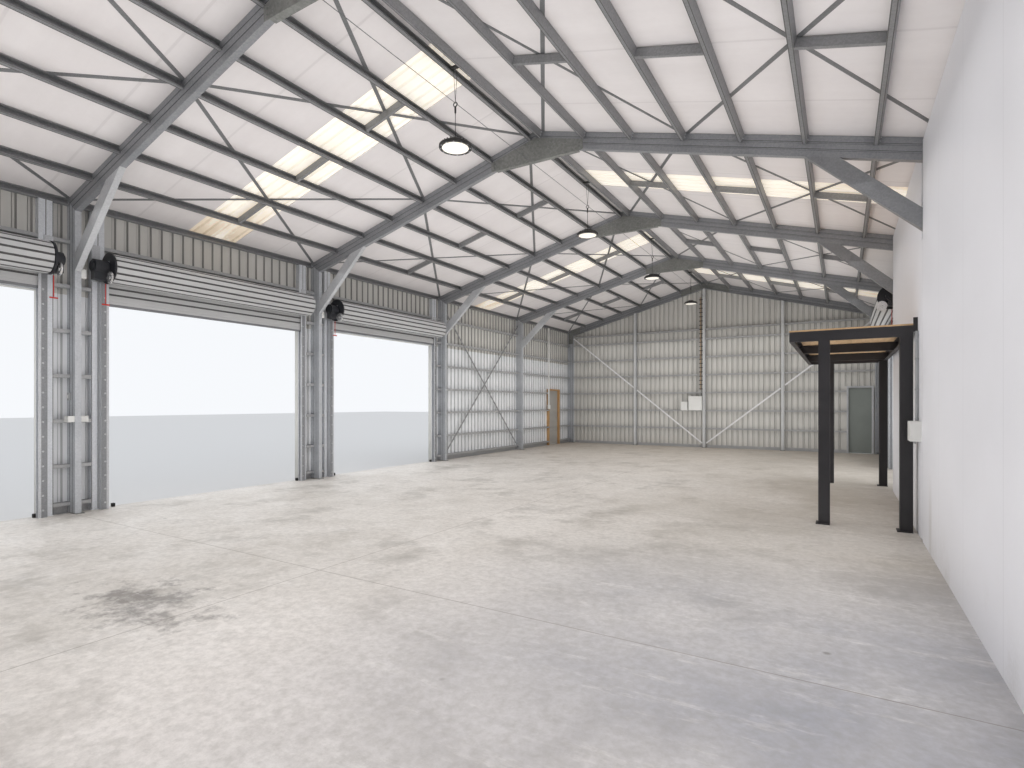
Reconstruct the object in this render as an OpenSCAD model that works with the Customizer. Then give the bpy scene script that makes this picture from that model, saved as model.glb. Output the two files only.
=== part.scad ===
/* [Building] */
// Width across the outer faces of the side wall frames
span = 10600; // [8000:100:16000]
// Distance from one portal frame to the next
bay = 4200; // [4150:50:6000]
// Number of bays along the building
bays = 6; // [6:1:6]
// Height of the rafter's top at the outer face, above the floor
eave_h = 4450; // [4350:10:5200]
// Pitch of the roof in degrees
roof_pitch = 15; // [10:0.5:20]

/* [Floor] */
// Thickness of the concrete slab
slab_t = 150; // [100:10:300]

/* [Portal frames] */
// Depth of the columns and rafters
col_d = 250; // [200:5:300]
// Width of their flanges
col_b = 76; // [60:1:100]
// Length of the lips at the flange tips
col_lip = 20; // [12:1:30]
// Steel thickness of the columns and rafters
col_t = 5; // [3:0.5:8]
// Height of the two swages rolled into the web
swage_h = 5; // [3:0.5:8]
// Width of each swage at its crest
swage_w = 14; // [8:1:30]
// Thickness of the base plates
base_t = 12; // [8:1:25]
// Distance that a base plate stands out past its column
base_rim = 30; // [15:1:60]
// Thickness of the apex and haunch plates
plate_t = 8; // [5:1:12]
// Half the length of an apex plate along the span
apex_reach = 820; // [600:10:900]

/* [Knee braces] */
// Depth of a knee brace
brace_d = 180; // [120:5:220]
// Angle of a knee brace above level
brace_angle = 43; // [38:0.5:50]
// Height of its upper edge on the column, above the floor
brace_h = 3660; // [3500:10:4000]

/* [Purlins and girts] */
// Depth of the purlins and girts
purlin_d = 100; // [80:5:150]
// Width of their flanges
purlin_b = 50; // [40:1:65]
// Length of their lips
purlin_lip = 14; // [10:1:20]
// Steel thickness of the purlins and girts
purlin_t = 3; // [2:0.5:5]
// Number of purlin spaces on each slope
purlin_spaces = 7; // [5:1:9]
// Purlin at which the two crosses of roof straps meet
strap_row = 3; // [2:1:4]
// Width of the flat bracing straps
strap_w = 50; // [30:5:75]
// Thickness of the straps
strap_t = 3; // [1:0.5:5]
// Depth of the bridging channels between purlins
bridge_d = 90; // [60:5:95]
// Distance of the ridge purlin from the ridge line
ridge_gap = 90; // [60:5:150]
// Height of the lowest girt above the floor
girt_first = 670; // [620:10:720]
// Height from one girt to the next
girt_step = 634; // [610:2:660]
// Depth of the gable mullions
mullion_d = 150; // [120:5:200]
// Distance of the outer gable mullions from the centre
mullion_x = 2500; // [2000:50:2800]
// Distance of the gables' top girt below the eave line
gable_top_drop = 270; // [200:10:320]

/* [Cladding] */
// Depth of the ribbed sheets over their ribs
sheet_t = 30; // [20:1:45]
// Steel thickness of the sheets
sheet_metal = 3; // [1.5:0.5:4]
// Distance from rib to rib
rib_pitch = 168; // [140:1:250]
// Width of a rib at its foot
rib_foot = 62; // [50:1:90]
// Width of a rib at its crest
rib_crest = 26; // [20:1:45]
// Thickness of the white lining under the roof sheets
lining_t = 12; // [6:1:30]
// Width of a skylight sheet
skylight_w = 840; // [700:10:1000]
// Distance that the roof sheets pass the wall into the gutter
roof_overhang = 60; // [40:5:90]
// Half the width of the ridge cap
cap_w = 220; // [150:10:300]
// Thickness of flashings and gutters
flashing_t = 4; // [2:0.5:6]
// Width of a flashing's wing on the sheets
wing = 130; // [60:5:160]
// Width and height of the gutter
gutter_w = 130; // [100:5:200]
// Side of a downpipe
pipe_w = 90; // [70:5:110]

/* [Roller doors] */
// Clear width of a roller door
door_w = 3420; // [3000:10:3430]
// Clear height of a roller door
door_h = 3100; // [2700:10:3100]
// Distance from a frame to the opening on its far side
door_off = 420; // [410:5:460]
// Width of each half of a boxed jamb stud
stud_b = 82; // [60:1:90]
// Diameter of the rolled up curtain
drum_d = 430; // [380:5:460]
// Height of the drum's axis above the floor
drum_h = 3510; // [3480:5:3560]
// Width of a guide along the wall
guide_b = 100; // [80:1:110]
// Depth of a guide
guide_d = 80; // [60:1:90]
// Diameter of the motor's housing
motor_d = 200; // [150:5:240]
// Length of the motor along the drum's axis
motor_l = 180; // [110:5:190]
// Number of laths round the rolled up curtain
roll_ribs = 14; // [12:1:20]
// Length of the release pull under the motor
pull_l = 340; // [200:10:400]

/* [Personnel doors] */
// Width of a leaf
leaf_w = 820; // [720:5:920]
// Height of a leaf
leaf_h = 2040; // [1980:5:2080]
// Thickness of a leaf
leaf_t = 40; // [35:1:45]
// Gap around a leaf
leaf_gap = 7; // [6.5:0.5:9]
// Gap under a leaf
leaf_foot = 8; // [6:1:15]
// Width of a jamb
jamb_w = 40; // [30:1:60]
// Distance of the side door's leaf from its frame line
side_door_off = 2320; // [2000:10:2500]
// Width of the narrow leaf in the rear gable
rear_leaf_w = 620; // [600:5:820]
// Distance of the rear door's leaf from the corner column
rear_door_off = 80; // [80:5:300]

/* [White wall] */
// Thickness of the white panels along the right columns
panel_t = 100; // [75:5:150]

/* [Platform] */
// Height of the platform's deck above the floor
deck_h = 2510; // [2200:10:2800]
// Width of the deck out from the white wall
deck_w = 1330; // [1000:10:1600]
// Length of the deck along the wall
deck_l = 4960; // [4600:10:5200]
// Distance of the deck's near end past the middle frame
deck_off = 450; // [300:10:700]
// Thickness of the plywood deck
ply_t = 20; // [15:1:30]
// Depth of the platform's beams
beam_d = 130; // [100:5:200]
// Side of the square posts
post_w = 130; // [75:5:150]

/* [Services] */
// Diameter of a high bay lamp
lamp_d = 410; // [300:5:500]
// Distance of the lamp's lower rim below the support wire
lamp_drop = 570; // [400:10:800]
// Gap between the taut support wire and the feet of the apex plates
wire_gap = 57; // [5:1:80]
// Height of the main switchboard
board_tall = 500; // [450:10:620]
// Width of the cable ladder beside the middle mullion
ladder_w = 130; // [100:10:250]
// Height of the cable ladder's top above the floor
ladder_top = 5360; // [4300:10:5400]
// Diameter of the conduit on the white wall
conduit_d = 32; // [20:1:40]

/* [Hidden] */

half = span / 2;
// Along a roller door's axis past the opening: the curtain's edge in its guide, the axle, the end
// wheel, the bracket, the short motor and its cap, and the space up to the next frame
curtain_t = 24;
axle_out = 10;
wheel_t = 22;
far_motor_l = 110;
cap_t = 20;
motor_gap = 100;
door_reach = door_off + door_w + curtain_t + axle_out + wheel_t + plate_t + far_motor_l + cap_t;
// The frames stand one bay apart, and farther apart where a wider roller door needs it
frame_step = max(bay, door_reach + motor_gap);
long = frame_step * bays;
floor_z = slab_t;
slope = tan(roof_pitch);
eave_z = floor_z + eave_h;
ridge_z = eave_z + half * slope;
col_v = col_d / cos(roof_pitch);
inner_x = half - col_d;
inner_z = eave_z + col_d * slope - col_v;
slope_len = half / cos(roof_pitch);
purlin_first = ridge_gap + purlin_b;
purlin_step = (slope_len - purlin_first) / purlin_spaces;
seat = 0.3;
lining_low = strap_t + 2 * seat;
sheet_low = lining_low + lining_t + seat;
crest_n = sheet_low + sheet_t;
head_z = floor_z + door_h;
steel = [0.45, 0.46, 0.47];
galv = [0.55, 0.56, 0.57];
clad = [0.62, 0.61, 0.58];
white = [0.88, 0.88, 0.9];
black = [0.12, 0.12, 0.12];
door_bays = [1, 2, 3];
right_door_bay = 4;
side_door_bay = 5;
left_lights = [0, 2, 4];
right_lights = [1, 3, 5];
full_frames = [1:bays - 1];
girt_rows = 6;
girt_foot = 135;
low_rows = 2;
tiny = 1;

// Where frame k has the outer face of its web
function frame_y(k) = -long / 2 + k * frame_step;
// Where the open space of bay k starts and ends between the members
function bay_start(k) = frame_y(k) + col_b;
function bay_end(k) = frame_y(k + 1) - (k == bays - 1 ? col_b : 0);
// Height of the rafters' top and bottom planes at a distance from the centre
function roof_z(x) = ridge_z - abs(x) * slope;
function under_z(x) = roof_z(x) - col_v;
function girt_z(i) = floor_z + (i < 0 ? girt_foot : girt_first + i * girt_step);

// Flat shape of a lipped C: depth along x, flanges along y, and swages in the web
module c_shape(d, b, lip, t, swage = 0) {
    third = d / 3;
    ramp = swage;
    bump = swage > 0 ? [for (c = [third, 2 * third]) each
        [[c - swage_w / 2 - ramp, 0], [c - swage_w / 2, swage], [c + swage_w / 2, swage],
         [c + swage_w / 2 + ramp, 0]]] : [];
    back = len(bump) == 0 ? [] : [for (i = [len(bump) - 1:-1:0]) bump[i] + [0, t]];
    polygon(concat([[0, 0]], bump, [[d, 0], [d, b], [d - lip, b], [d - lip, b - t],
        [d - t, b - t], [d - t, t]], back, [[t, t], [t, b - t], [lip, b - t], [lip, b], [0, b]]));
}

// Outline of a ribbed sheet from a0 to a1 as [place, depth], with ribs on one common grid.
// The outer line lies one steel thickness from the inner line, square to each face
function rib_side(a0, a1, low, high, out) = [
    for (i = [ceil((a0 + rib_foot) / rib_pitch - 0.5) : 1 : floor((a1 - rib_foot) / rib_pitch - 0.5)])
        let (c = (i + 0.5) * rib_pitch, f = rib_foot / 2 + out, w = rib_crest / 2 + out)
            each [[c - f, low], [c - w, high], [c + w, high], [c + f, low]]];
function backwards(points) = [for (i = [len(points) - 1:-1:0]) points[i]];
function ribbed_outline(a0, a1) =
    let (rise = sheet_t - sheet_metal, flank = atan(2 * rise / (rib_foot - rib_crest)),
        out = sheet_metal * tan(flank / 2))
    concat([[a0, 0]], rib_side(a0, a1, 0, rise, 0), [[a1, 0], [a1, sheet_metal]],
        backwards(rib_side(a0, a1, sheet_metal, sheet_t, out)), [[a0, sheet_metal]]);
function swapped(points) = [for (p = points) [p[1], p[0]]];

// A flat shape in the XZ plane drawn out from y0 to y1
module y_bar(y0, y1) {
    translate([0, y1, 0]) rotate([90, 0, 0]) linear_extrude(y1 - y0) children();
}
// A flat shape in the YZ plane drawn out from x0 to x1
module x_bar(x0, x1) {
    translate([x0, 0, 0]) rotate([90, 0, 90]) linear_extrude(x1 - x0) children();
}
// The right side as drawn, and the left side as its mirror image
module both_sides() {
    children();
    mirror([1, 0, 0]) children();
}
// Both gables: as drawn at the rear, mirrored at the front
module both_ends() {
    children();
    mirror([0, 1, 0]) children();
}
// The plane of the right slope: x down the slope from the ridge, z out of the roof
module on_slope() {
    translate([0, 0, ridge_z]) rotate([0, roof_pitch, 0]) children();
}
// Each frame in its place, with the last one turned to face inwards
module each_frame() {
    for (k = [0:bays - 1]) translate([0, frame_y(k), 0]) children();
    translate([0, frame_y(bays), 0]) mirror([0, 1, 0]) children();
}
module inner_frames() {
    for (k = full_frames) translate([0, frame_y(k), 0]) children();
}
module block(x0, x1, y0, y1, z0, z1) {
    translate([x0, y0, z0]) cube([x1 - x0, y1 - y0, z1 - z0]);
}

// The mitre between column and rafter, drawn past both corners
mitre = [half - inner_x, eave_z - inner_z];
mitre_out = [half, eave_z] + mitre;
mitre_in = [inner_x, inner_z] - mitre;

module floor_slab() {
    color([0.75, 0.74, 0.72])
        block(-half - sheet_t, half + sheet_t, -long / 2 - sheet_t, long / 2 + sheet_t, 0, slab_t);
}

module column_base_plates() {
    color(steel) {
        both_sides() each_frame()
            block(inner_x - base_rim, half, 0, col_b + base_rim, floor_z, floor_z + base_t);
        both_ends() for (x = [-mullion_x, 0, mullion_x])
            block(x - col_b / 2 - base_rim, x + col_b / 2 + base_rim,
                long / 2 - mullion_d - base_rim, long / 2, floor_z, floor_z + base_t);
    }
}

module column() {
    intersection() {
        translate([half, 0, floor_z + base_t]) mirror([1, 0, 0])
            linear_extrude(eave_h + col_d) c_shape(col_d, col_b, col_lip, col_t, swage_h);
        y_bar(-tiny, col_b + tiny)
            polygon([mitre_in, mitre_out, [mitre_out[0], 0], [mitre_in[0], 0]]);
    }
}
module columns() {
    color(steel) both_sides() each_frame() column();
}

module rafter() {
    intersection() {
        on_slope() translate([-col_d, 0, 0]) rotate([0, 90, 0])
            linear_extrude(slope_len + 2 * col_d) c_shape(col_d, col_b, col_lip, col_t, swage_h);
        y_bar(-tiny, col_b + tiny)
            polygon([[0, ridge_z + col_d], mitre_out, mitre_in, [0, ridge_z - 2 * col_v]]);
    }
}
module left_rafters() {
    color(steel) mirror([1, 0, 0]) each_frame() rafter();
}
module right_rafters() {
    color(steel) each_frame() rafter();
}

// A knee brace is cut to lie flat on the column's inner flange and the rafter's lower one
module knee_brace() {
    reach = inner_x / 2;
    intersection() {
        translate([inner_x, 0, floor_z + brace_h]) rotate([0, 180 + brace_angle, 0])
            translate([-col_d, 0, brace_d]) rotate([0, 90, 0])
                linear_extrude(reach) c_shape(brace_d, col_b, col_lip, col_t);
        y_bar(-tiny, col_b + tiny)
            polygon([[inner_x, inner_z - seat], [inner_x, floor_z], [inner_x - reach, floor_z],
                [inner_x - reach, under_z(inner_x - reach) - seat]]);
    }
}
module knee_braces() {
    color(steel) both_sides() inner_frames() knee_brace();
}

// The haunch plate lies inside the C on the swages of both members
module haunch_plate() {
    edge = col_t + swage_h;
    top = 2 * col_d;
    y_bar(edge, edge + plate_t)
        polygon([[half - edge, roof_z(half) - 2 * edge], [half - edge, eave_z - top],
            [inner_x + edge, eave_z - top], [inner_x + edge, under_z(inner_x + edge) + 2 * edge],
            [half - top, under_z(half - top) + 2 * edge], [half - top, roof_z(half - top) - 2 * edge]]);
}
module haunch_plates() {
    color(galv) both_sides() each_frame() haunch_plate();
}

// One apex plate lies inside the C, across the meeting line of the two rafters
plate_edge = col_t + swage_h;
module apex_plate() {
    y_bar(plate_edge, plate_edge + plate_t)
        polygon([[0, roof_z(0) - 2 * plate_edge], [apex_reach, roof_z(apex_reach) - 2 * plate_edge],
            [apex_reach, under_z(apex_reach) + 2 * plate_edge], [0, under_z(0) + 2 * plate_edge],
            [-apex_reach, under_z(apex_reach) + 2 * plate_edge],
            [-apex_reach, roof_z(apex_reach) - 2 * plate_edge]]);
}
// On the inner frames a second one covers the webs below the purlins, down to a level lower edge
// with a foot folded under the rafters
gusset_z = under_z(apex_reach);
purlin_clear = 6;
foot_share = 0.9;
module apex_gusset() {
    low = (purlin_d + purlin_clear) / cos(roof_pitch);
    foot = foot_share * apex_reach;
    y_bar(-plate_t, 0)
        polygon([[0, roof_z(0) - low], [apex_reach, roof_z(apex_reach) - low], [apex_reach, gusset_z],
            [-apex_reach, gusset_z], [-apex_reach, roof_z(apex_reach) - low]]);
    block(-foot, foot, -tiny, col_b, gusset_z, gusset_z + plate_t);
}
module apex_plates() {
    color(galv) {
        each_frame() apex_plate();
        inner_frames() apex_gusset();
    }
}

// A purlin on the right slope at a distance down from the ridge, open towards the ridge
module purlin(s, y0, y1) {
    on_slope() translate([s, 0, 0]) y_bar(y0, y1)
        mirror([1, 0]) rotate(-90) c_shape(purlin_d, purlin_b, purlin_lip, purlin_t);
}
module slope_purlins() {
    for (k = [0:bays - 1]) for (i = [0:purlin_spaces])
        purlin(purlin_first + i * purlin_step, bay_start(k), bay_end(k));
}
module roof_purlins() {
    color(steel) both_sides() slope_purlins();
}

// Bridging channels stand between two neighbouring purlins at the middle of a bay
module roof_bridging() {
    flange = bridge_d / 2;
    color(steel) both_sides() for (k = [0:bays - 1]) for (i = [1:2:purlin_spaces - 1]) {
        from = purlin_first + i * purlin_step;
        mid = frame_y(k) + frame_step / 2;
        on_slope() x_bar(from, from + purlin_step - purlin_b)
            translate([mid - flange / 2, -(purlin_d - bridge_d) / 2]) rotate(-90)
                c_shape(bridge_d, flange, purlin_lip, purlin_t);
    }
}

// A flat strap between two points, cut square at its ends
module strap(a, b) {
    dir = (b - a) / norm(b - a);
    off = [-dir[1], dir[0]] * strap_w / 2;
    polygon([a - off, b - off, b + off, a + off]);
}
// Two straps from corner to corner of a rectangle, with their ends inside it
module cross(x0, x1, y0, y1) {
    e = strap_w / 2;
    strap([x0 + e, y0 + e], [x1 - e, y1 - e]);
    strap([x0 + e, y1 - e], [x1 - e, y0 + e]);
}
// Two crosses of straps lie on the purlins of each bay, one above the other on the slope
module roof_bracing() {
    middle = purlin_b / 2;
    meet = purlin_first + strap_row * purlin_step - middle;
    bottom = slope_len - middle;
    color(galv) both_sides() for (k = [0:bays - 1]) {
        y0 = frame_y(k) + col_b / 2 + tiny;
        y1 = frame_y(k + 1) + (k == bays - 1 ? -1 : 1) * col_b / 2 - tiny;
        on_slope() translate([0, 0, seat]) linear_extrude(strap_t) {
            cross(purlin_first - middle, meet - tiny, y0, y1);
            cross(meet + tiny, bottom, y0, y1);
        }
    }
}

// A layer of the roof over the right slope, between two heights above the rafters
module roof_layer(x0, x1, y0, y1, n0, n1) {
    low = n0 / cos(roof_pitch);
    high = n1 / cos(roof_pitch);
    y_bar(y0, y1) polygon([[x0, roof_z(x0) + low], [x1, roof_z(x1) + low],
        [x1, roof_z(x1) + high], [x0, roof_z(x0) + high]]);
}
ridge_cut = 40;
roof_end = long / 2 + sheet_t;
function light_y(k) = frame_y(k) + (frame_step - skylight_w) / 2;
sheet_x = half + sheet_t + roof_overhang;
lining_x = half + sheet_t;
// The parts of one slope between its skylights, as pairs of places along the building
function beside_lights(lights) = [for (i = [0:3]) [
    i == 0 ? -roof_end : light_y(lights[i - 1]) + skylight_w,
    i == 3 ? roof_end : light_y(lights[i])]];
// One ribbed sheet on the right slope, cut square at its ends
module roof_sheet(y0, y1) {
    on_slope() translate([0, 0, sheet_low]) x_bar(ridge_cut, sheet_x / cos(roof_pitch))
        polygon(ribbed_outline(y0, y1));
}
module lining_sheets(lights) {
    for (part = beside_lights(lights))
        roof_layer(ridge_cut, lining_x, part[0], part[1], lining_low, lining_low + lining_t);
}
module roof_sheets() {
    color(clad) {
        mirror([1, 0, 0]) for (part = beside_lights(left_lights)) roof_sheet(part[0], part[1]);
        for (part = beside_lights(right_lights)) roof_sheet(part[0], part[1]);
    }
}
module roof_lining() {
    color(white) {
        mirror([1, 0, 0]) lining_sheets(left_lights);
        lining_sheets(right_lights);
    }
}
module skylight_sheets() {
    color([0.95, 0.94, 0.88, 0.8]) {
        mirror([1, 0, 0]) for (k = left_lights) roof_sheet(light_y(k), light_y(k) + skylight_w);
        for (k = right_lights) roof_sheet(light_y(k), light_y(k) + skylight_w);
    }
}

// The cap bridges the ridge gap on top of the verge flashings, just above the ribs
module ridge_cap() {
    low = (crest_n + flashing_t + 2 * seat) / cos(roof_pitch);
    high = low + flashing_t / cos(roof_pitch);
    color(clad) y_bar(-roof_end - flashing_t, roof_end + flashing_t)
        polygon([[-cap_w, roof_z(cap_w) + low], [0, ridge_z + low], [cap_w, roof_z(cap_w) + low],
            [cap_w, roof_z(cap_w) + high], [0, ridge_z + high], [-cap_w, roof_z(cap_w) + high]]);
}

// Folded trims: along the verges, down the corners and round the roller doorways
module verge_flashing() {
    y = roof_end + seat;
    top = crest_n + seat;
    foot = top - wing - sheet_t;
    intersection() {
        on_slope() x_bar(-wing, sheet_x / cos(roof_pitch))
            polygon([[y - wing, top], [y, top], [y, foot], [y + flashing_t, foot],
                [y + flashing_t, top + flashing_t], [y - wing, top + flashing_t]]);
        block(tiny, span, 0, long, 0, 2 * ridge_z);
    }
}
module corner_flashing() {
    x = half + sheet_t;
    y = roof_end;
    translate([0, 0, floor_z]) linear_extrude(gutter_low - floor_z - wing)
        polygon([[x, y - wing], [x + flashing_t, y - wing], [x + flashing_t, y + flashing_t],
            [x - wing, y + flashing_t], [x - wing, y], [x, y]]);
}
module side_trim() {
    x = half + sheet_t;
    t = flashing_t;
    translate([0, 0, floor_z]) linear_extrude(door_h - t - seat)
        polygon([[guide_x, 0], [x, 0], [x, -wing / 2], [x + t, -wing / 2], [x + t, t], [guide_x, t]]);
}
module doorway_flashing(k) {
    x = half + sheet_t;
    low = head_z - flashing_t;
    translate([0, door_y0(k), 0]) side_trim();
    translate([0, door_y1(k), 0]) mirror([0, 1, 0]) side_trim();
    block(guide_x, x + tiny, door_y0(k), door_y1(k), low, head_z);
    block(x, x + flashing_t, door_y0(k) - wing / 2, door_y1(k) + wing / 2, low, head_z + wing / 2);
}
module flashings() {
    color(clad) {
        both_ends() both_sides() verge_flashing();
        both_ends() both_sides() corner_flashing();
        mirror([1, 0, 0]) for (k = door_bays) doorway_flashing(k);
        doorway_flashing(right_door_bay);
    }
}

// The gutter hangs on the wall sheet with its back under the roof sheets' ends
gutter_top = roof_z(sheet_x) - lining_t;
gutter_low = gutter_top - gutter_w;
pipe_gap = 40;
pipe_in = wing + pipe_w + pipe_gap;
gutter_x = half + sheet_t;
module gutters() {
    t = flashing_t;
    color(clad) both_sides() difference() {
        block(gutter_x, gutter_x + gutter_w, -roof_end, roof_end, gutter_low, gutter_top);
        block(gutter_x + t, gutter_x + gutter_w - t, t - roof_end, roof_end - t, gutter_low + t,
            gutter_top + tiny);
    }
}
module downpipes() {
    color(clad) both_sides() both_ends() difference() {
        y = roof_end - pipe_in;
        wall = flashing_t / 2;
        low = slab_t / 2;
        block(gutter_x, gutter_x + pipe_w, y, y + pipe_w, low, gutter_low);
        block(gutter_x + wall, gutter_x + pipe_w - wall, y + wall, y + pipe_w - wall, low - tiny,
            gutter_low - wall);
    }
}

// A girt on the right wall, open upwards, with its outer flange on the sheet
module girt(z, y0, y1) {
    translate([half, 0, z - purlin_b / 2]) mirror([1, 0, 0]) y_bar(y0, y1)
        c_shape(purlin_d, purlin_b, purlin_lip, purlin_t);
}
module girt_row(k, rows) {
    for (i = rows) girt(girt_z(i), bay_start(k), bay_end(k));
}
jamb_b = 2 * stud_b;
function door_y0(k) = frame_y(k) + door_off;
function door_y1(k) = door_y0(k) + door_w;
// A base angle on the slab behind the foot of the sheets
base_leg = 40;
base_up = 95;
module base_angle(y0, y1) {
    translate([half, 0, floor_z]) mirror([1, 0, 0]) y_bar(y0, y1)
        polygon([[0, 0], [base_leg, 0], [base_leg, purlin_t], [purlin_t, purlin_t],
            [purlin_t, base_up], [0, base_up]]);
}
function angle_start(k) = bay_start(k) + base_rim;
function angle_end(k) = bay_end(k) - (k == bays - 1 ? base_rim : 0);
// Around a roller door the girts are short pieces beside the jambs, and two rows cross above it
over_row = 4;
module door_girts(k) {
    for (i = [over_row:girt_rows - 1]) girt(girt_z(i), door_y0(k), door_y1(k));
    for (i = [-1:girt_rows - 1]) {
        girt(girt_z(i), bay_start(k), door_y0(k) - jamb_b);
        girt(girt_z(i), door_y1(k) + jamb_b, bay_end(k));
    }
    base_angle(angle_start(k), door_y0(k) - jamb_b);
    base_angle(door_y1(k) + jamb_b, angle_end(k));
}
module whole_girts(k) {
    girt_row(k, [-1:girt_rows - 1]);
    base_angle(angle_start(k), angle_end(k));
}
side_y0 = frame_y(side_door_bay) + side_door_off;
side_y1 = side_y0 + leaf_w;
side_out = leaf_gap + jamb_w;
module side_wall_girts() {
    color(steel) {
        mirror([1, 0, 0]) {
            for (k = [0, 4]) whole_girts(k);
            for (k = door_bays) door_girts(k);
            girt_row(side_door_bay, [low_rows + 1:girt_rows - 1]);
            for (i = [-1:low_rows]) {
                girt(girt_z(i), bay_start(side_door_bay), side_y0 - side_out);
                girt(girt_z(i), side_y1 + side_out, bay_end(side_door_bay));
            }
            base_angle(angle_start(side_door_bay), side_y0 - side_out);
            base_angle(side_y1 + side_out, angle_end(side_door_bay));
        }
        for (k = [0:3]) whole_girts(k);
        door_girts(right_door_bay);
        whole_girts(5);
    }
}

// Each roller doorway has two jambs up to the eave purlin, boxed from two studs each, and a head
// between them
jamb_top = eave_z - purlin_d * cos(roof_pitch) - seat;
module jamb_half() {
    linear_extrude(jamb_top - floor_z) c_shape(purlin_d, stud_b, purlin_lip, purlin_t);
}
module jamb() {
    translate([half, 0, floor_z]) mirror([1, 0, 0]) {
        jamb_half();
        translate([0, jamb_b, 0]) mirror([0, 1, 0]) jamb_half();
    }
}
module doorway(k) {
    translate([0, door_y0(k), 0]) mirror([0, 1, 0]) jamb();
    translate([0, door_y1(k), 0]) jamb();
    girt(head_z + purlin_b / 2, door_y0(k) + seat, door_y1(k) - seat);
}
module doorway_framing() {
    color(steel) {
        mirror([1, 0, 0]) for (k = door_bays) doorway(k);
        doorway(right_door_bay);
    }
}

// Where a gable girt whose top is at z meets the rafter or the column
function gable_x(z) = min(inner_x, (ridge_z - col_v - z) / slope);
module gable_girt(z, x0, x1) {
    if (x1 - x0 > purlin_d)
        x_bar(x0, x1) translate([long / 2, z - purlin_b / 2]) mirror([1, 0])
            c_shape(purlin_d, purlin_b, purlin_lip, purlin_t);
}
gable_zs = concat([for (i = [0:girt_rows - 1]) girt_z(i)], [eave_z - gable_top_drop]);
rear_x1 = inner_x - rear_door_off;
rear_x0 = rear_x1 - rear_leaf_w;
module gable_angle(x0, x1) {
    translate([0, long / 2 - half, 0]) mirror([1, -1, 0]) base_angle(x0, x1);
}
// The rows of one gable, with a gap left for a door from d0 to d1 in the lowest three
module gable_side(d0, d1) {
    m = col_b / 2;
    foot = m + base_rim;
    for (i = [0:girt_rows]) {
        z = gable_zs[i];
        end = gable_x(z + purlin_b / 2);
        gable_girt(z, m, min(end, mullion_x - m));
        if (i > low_rows || d0 == d1) {
            gable_girt(z, mullion_x + m, end);
        } else {
            gable_girt(z, mullion_x + m, d0);
        }
    }
    gable_angle(foot, mullion_x - foot);
    gable_angle(mullion_x + foot, d0 == d1 ? inner_x - base_rim : d0);
}
module gable_girts() {
    color(steel) {
        gable_side(rear_x0 - side_out, rear_x1 + side_out);
        mirror([1, 0, 0]) gable_side(0, 0);
        mirror([0, 1, 0]) both_sides() gable_side(0, 0);
    }
}
module mullion(x) {
    intersection() {
        translate([x - col_b / 2, long / 2, floor_z + base_t]) rotate(-90)
            linear_extrude(ridge_z) c_shape(mullion_d, col_b, col_lip, col_t);
        y_bar(long / 2 - mullion_d - tiny, long / 2 + tiny)
            polygon([[-half, floor_z], [half, floor_z], [half, under_z(half)], [0, under_z(0)],
                [-half, under_z(half)]]);
    }
}
module gable_mullions() {
    color(steel) both_ends() for (x = [-mullion_x, 0, mullion_x]) mullion(x);
}

// A ribbed wall sheet on the right side between two places along the wall and two heights
module wall_sheet(y0, y1, z0, z1) {
    translate([half, 0, z0]) linear_extrude(z1 - z0) polygon(swapped(ribbed_outline(y0, y1)));
}
wall_top = roof_z(half + sheet_t);
door_top = floor_z + leaf_h + leaf_foot + leaf_gap + jamb_w;
module side_wall_lower_sheets() {
    color(clad) {
        mirror([1, 0, 0]) {
            wall_sheet(-roof_end, door_y0(1), floor_z, head_z);
            wall_sheet(door_y1(1), door_y0(2), floor_z, head_z);
            wall_sheet(door_y1(2), door_y0(3), floor_z, head_z);
            wall_sheet(door_y1(3), side_y0 - side_out, floor_z, head_z);
            wall_sheet(side_y1 + side_out, roof_end, floor_z, head_z);
        }
        wall_sheet(-roof_end, door_y0(right_door_bay), floor_z, head_z);
        wall_sheet(door_y1(right_door_bay), roof_end, floor_z, head_z);
    }
}
module side_wall_upper_sheets() {
    color(clad) both_sides() wall_sheet(-roof_end, roof_end, head_z, wall_top);
}
module side_door_over_sheet() {
    color(clad) mirror([1, 0, 0]) wall_sheet(side_y0 - side_out, side_y1 + side_out, door_top, head_z);
}
// A ribbed sheet of the rear gable, under the slopes of the roof
module gable_cladding(x0, x1, z0, z1) {
    intersection() {
        translate([0, long / 2, z0]) linear_extrude(z1 - z0) polygon(ribbed_outline(x0, x1));
        y_bar(long / 2 - tiny, roof_end + tiny)
            polygon([[-half, 0], [half, 0], [half, eave_z], [0, ridge_z], [-half, eave_z]]);
    }
}
module rear_wall_lower_sheets() {
    color(clad) {
        gable_cladding(-half, rear_x0 - side_out, floor_z, door_top);
        gable_cladding(rear_x1 + side_out, half, floor_z, door_top);
    }
}
module gable_sheets() {
    color(clad) {
        gable_cladding(-half, half, door_top, ridge_z + tiny);
        mirror([0, 1, 0]) gable_cladding(-half, half, floor_z, ridge_z + tiny);
    }
}

// White panels on the right columns' inner flanges, notched round rafters, braces and base plates
white_x = inner_x - panel_t;
joint_gap = 4;
notch_gap = 10;
white_start = -long / 2 + purlin_d + notch_gap;
white_end = frame_y(right_door_bay) - 2 * notch_gap;
module notch(k, y1, z0, z1) {
    block(white_x - tiny, inner_x + tiny, frame_y(k) - notch_gap, y1 + notch_gap, z0, z1);
}
module white_wall() {
    notch_z = floor_z + brace_h - brace_d / cos(brace_angle) - notch_gap;
    top = roof_z(inner_x) - notch_gap;
    color(white) difference() {
        for (k = [0:3])
            block(white_x, inner_x, k == 0 ? white_start : frame_y(k) + joint_gap,
                k == 3 ? white_end : frame_y(k + 1), floor_z, top);
        for (k = [0:3]) {
            notch(k, bay_start(k), notch_z, top + tiny);
            notch(k, bay_start(k) + base_rim, floor_z - tiny, floor_z + base_t + notch_gap);
        }
    }
}

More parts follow.
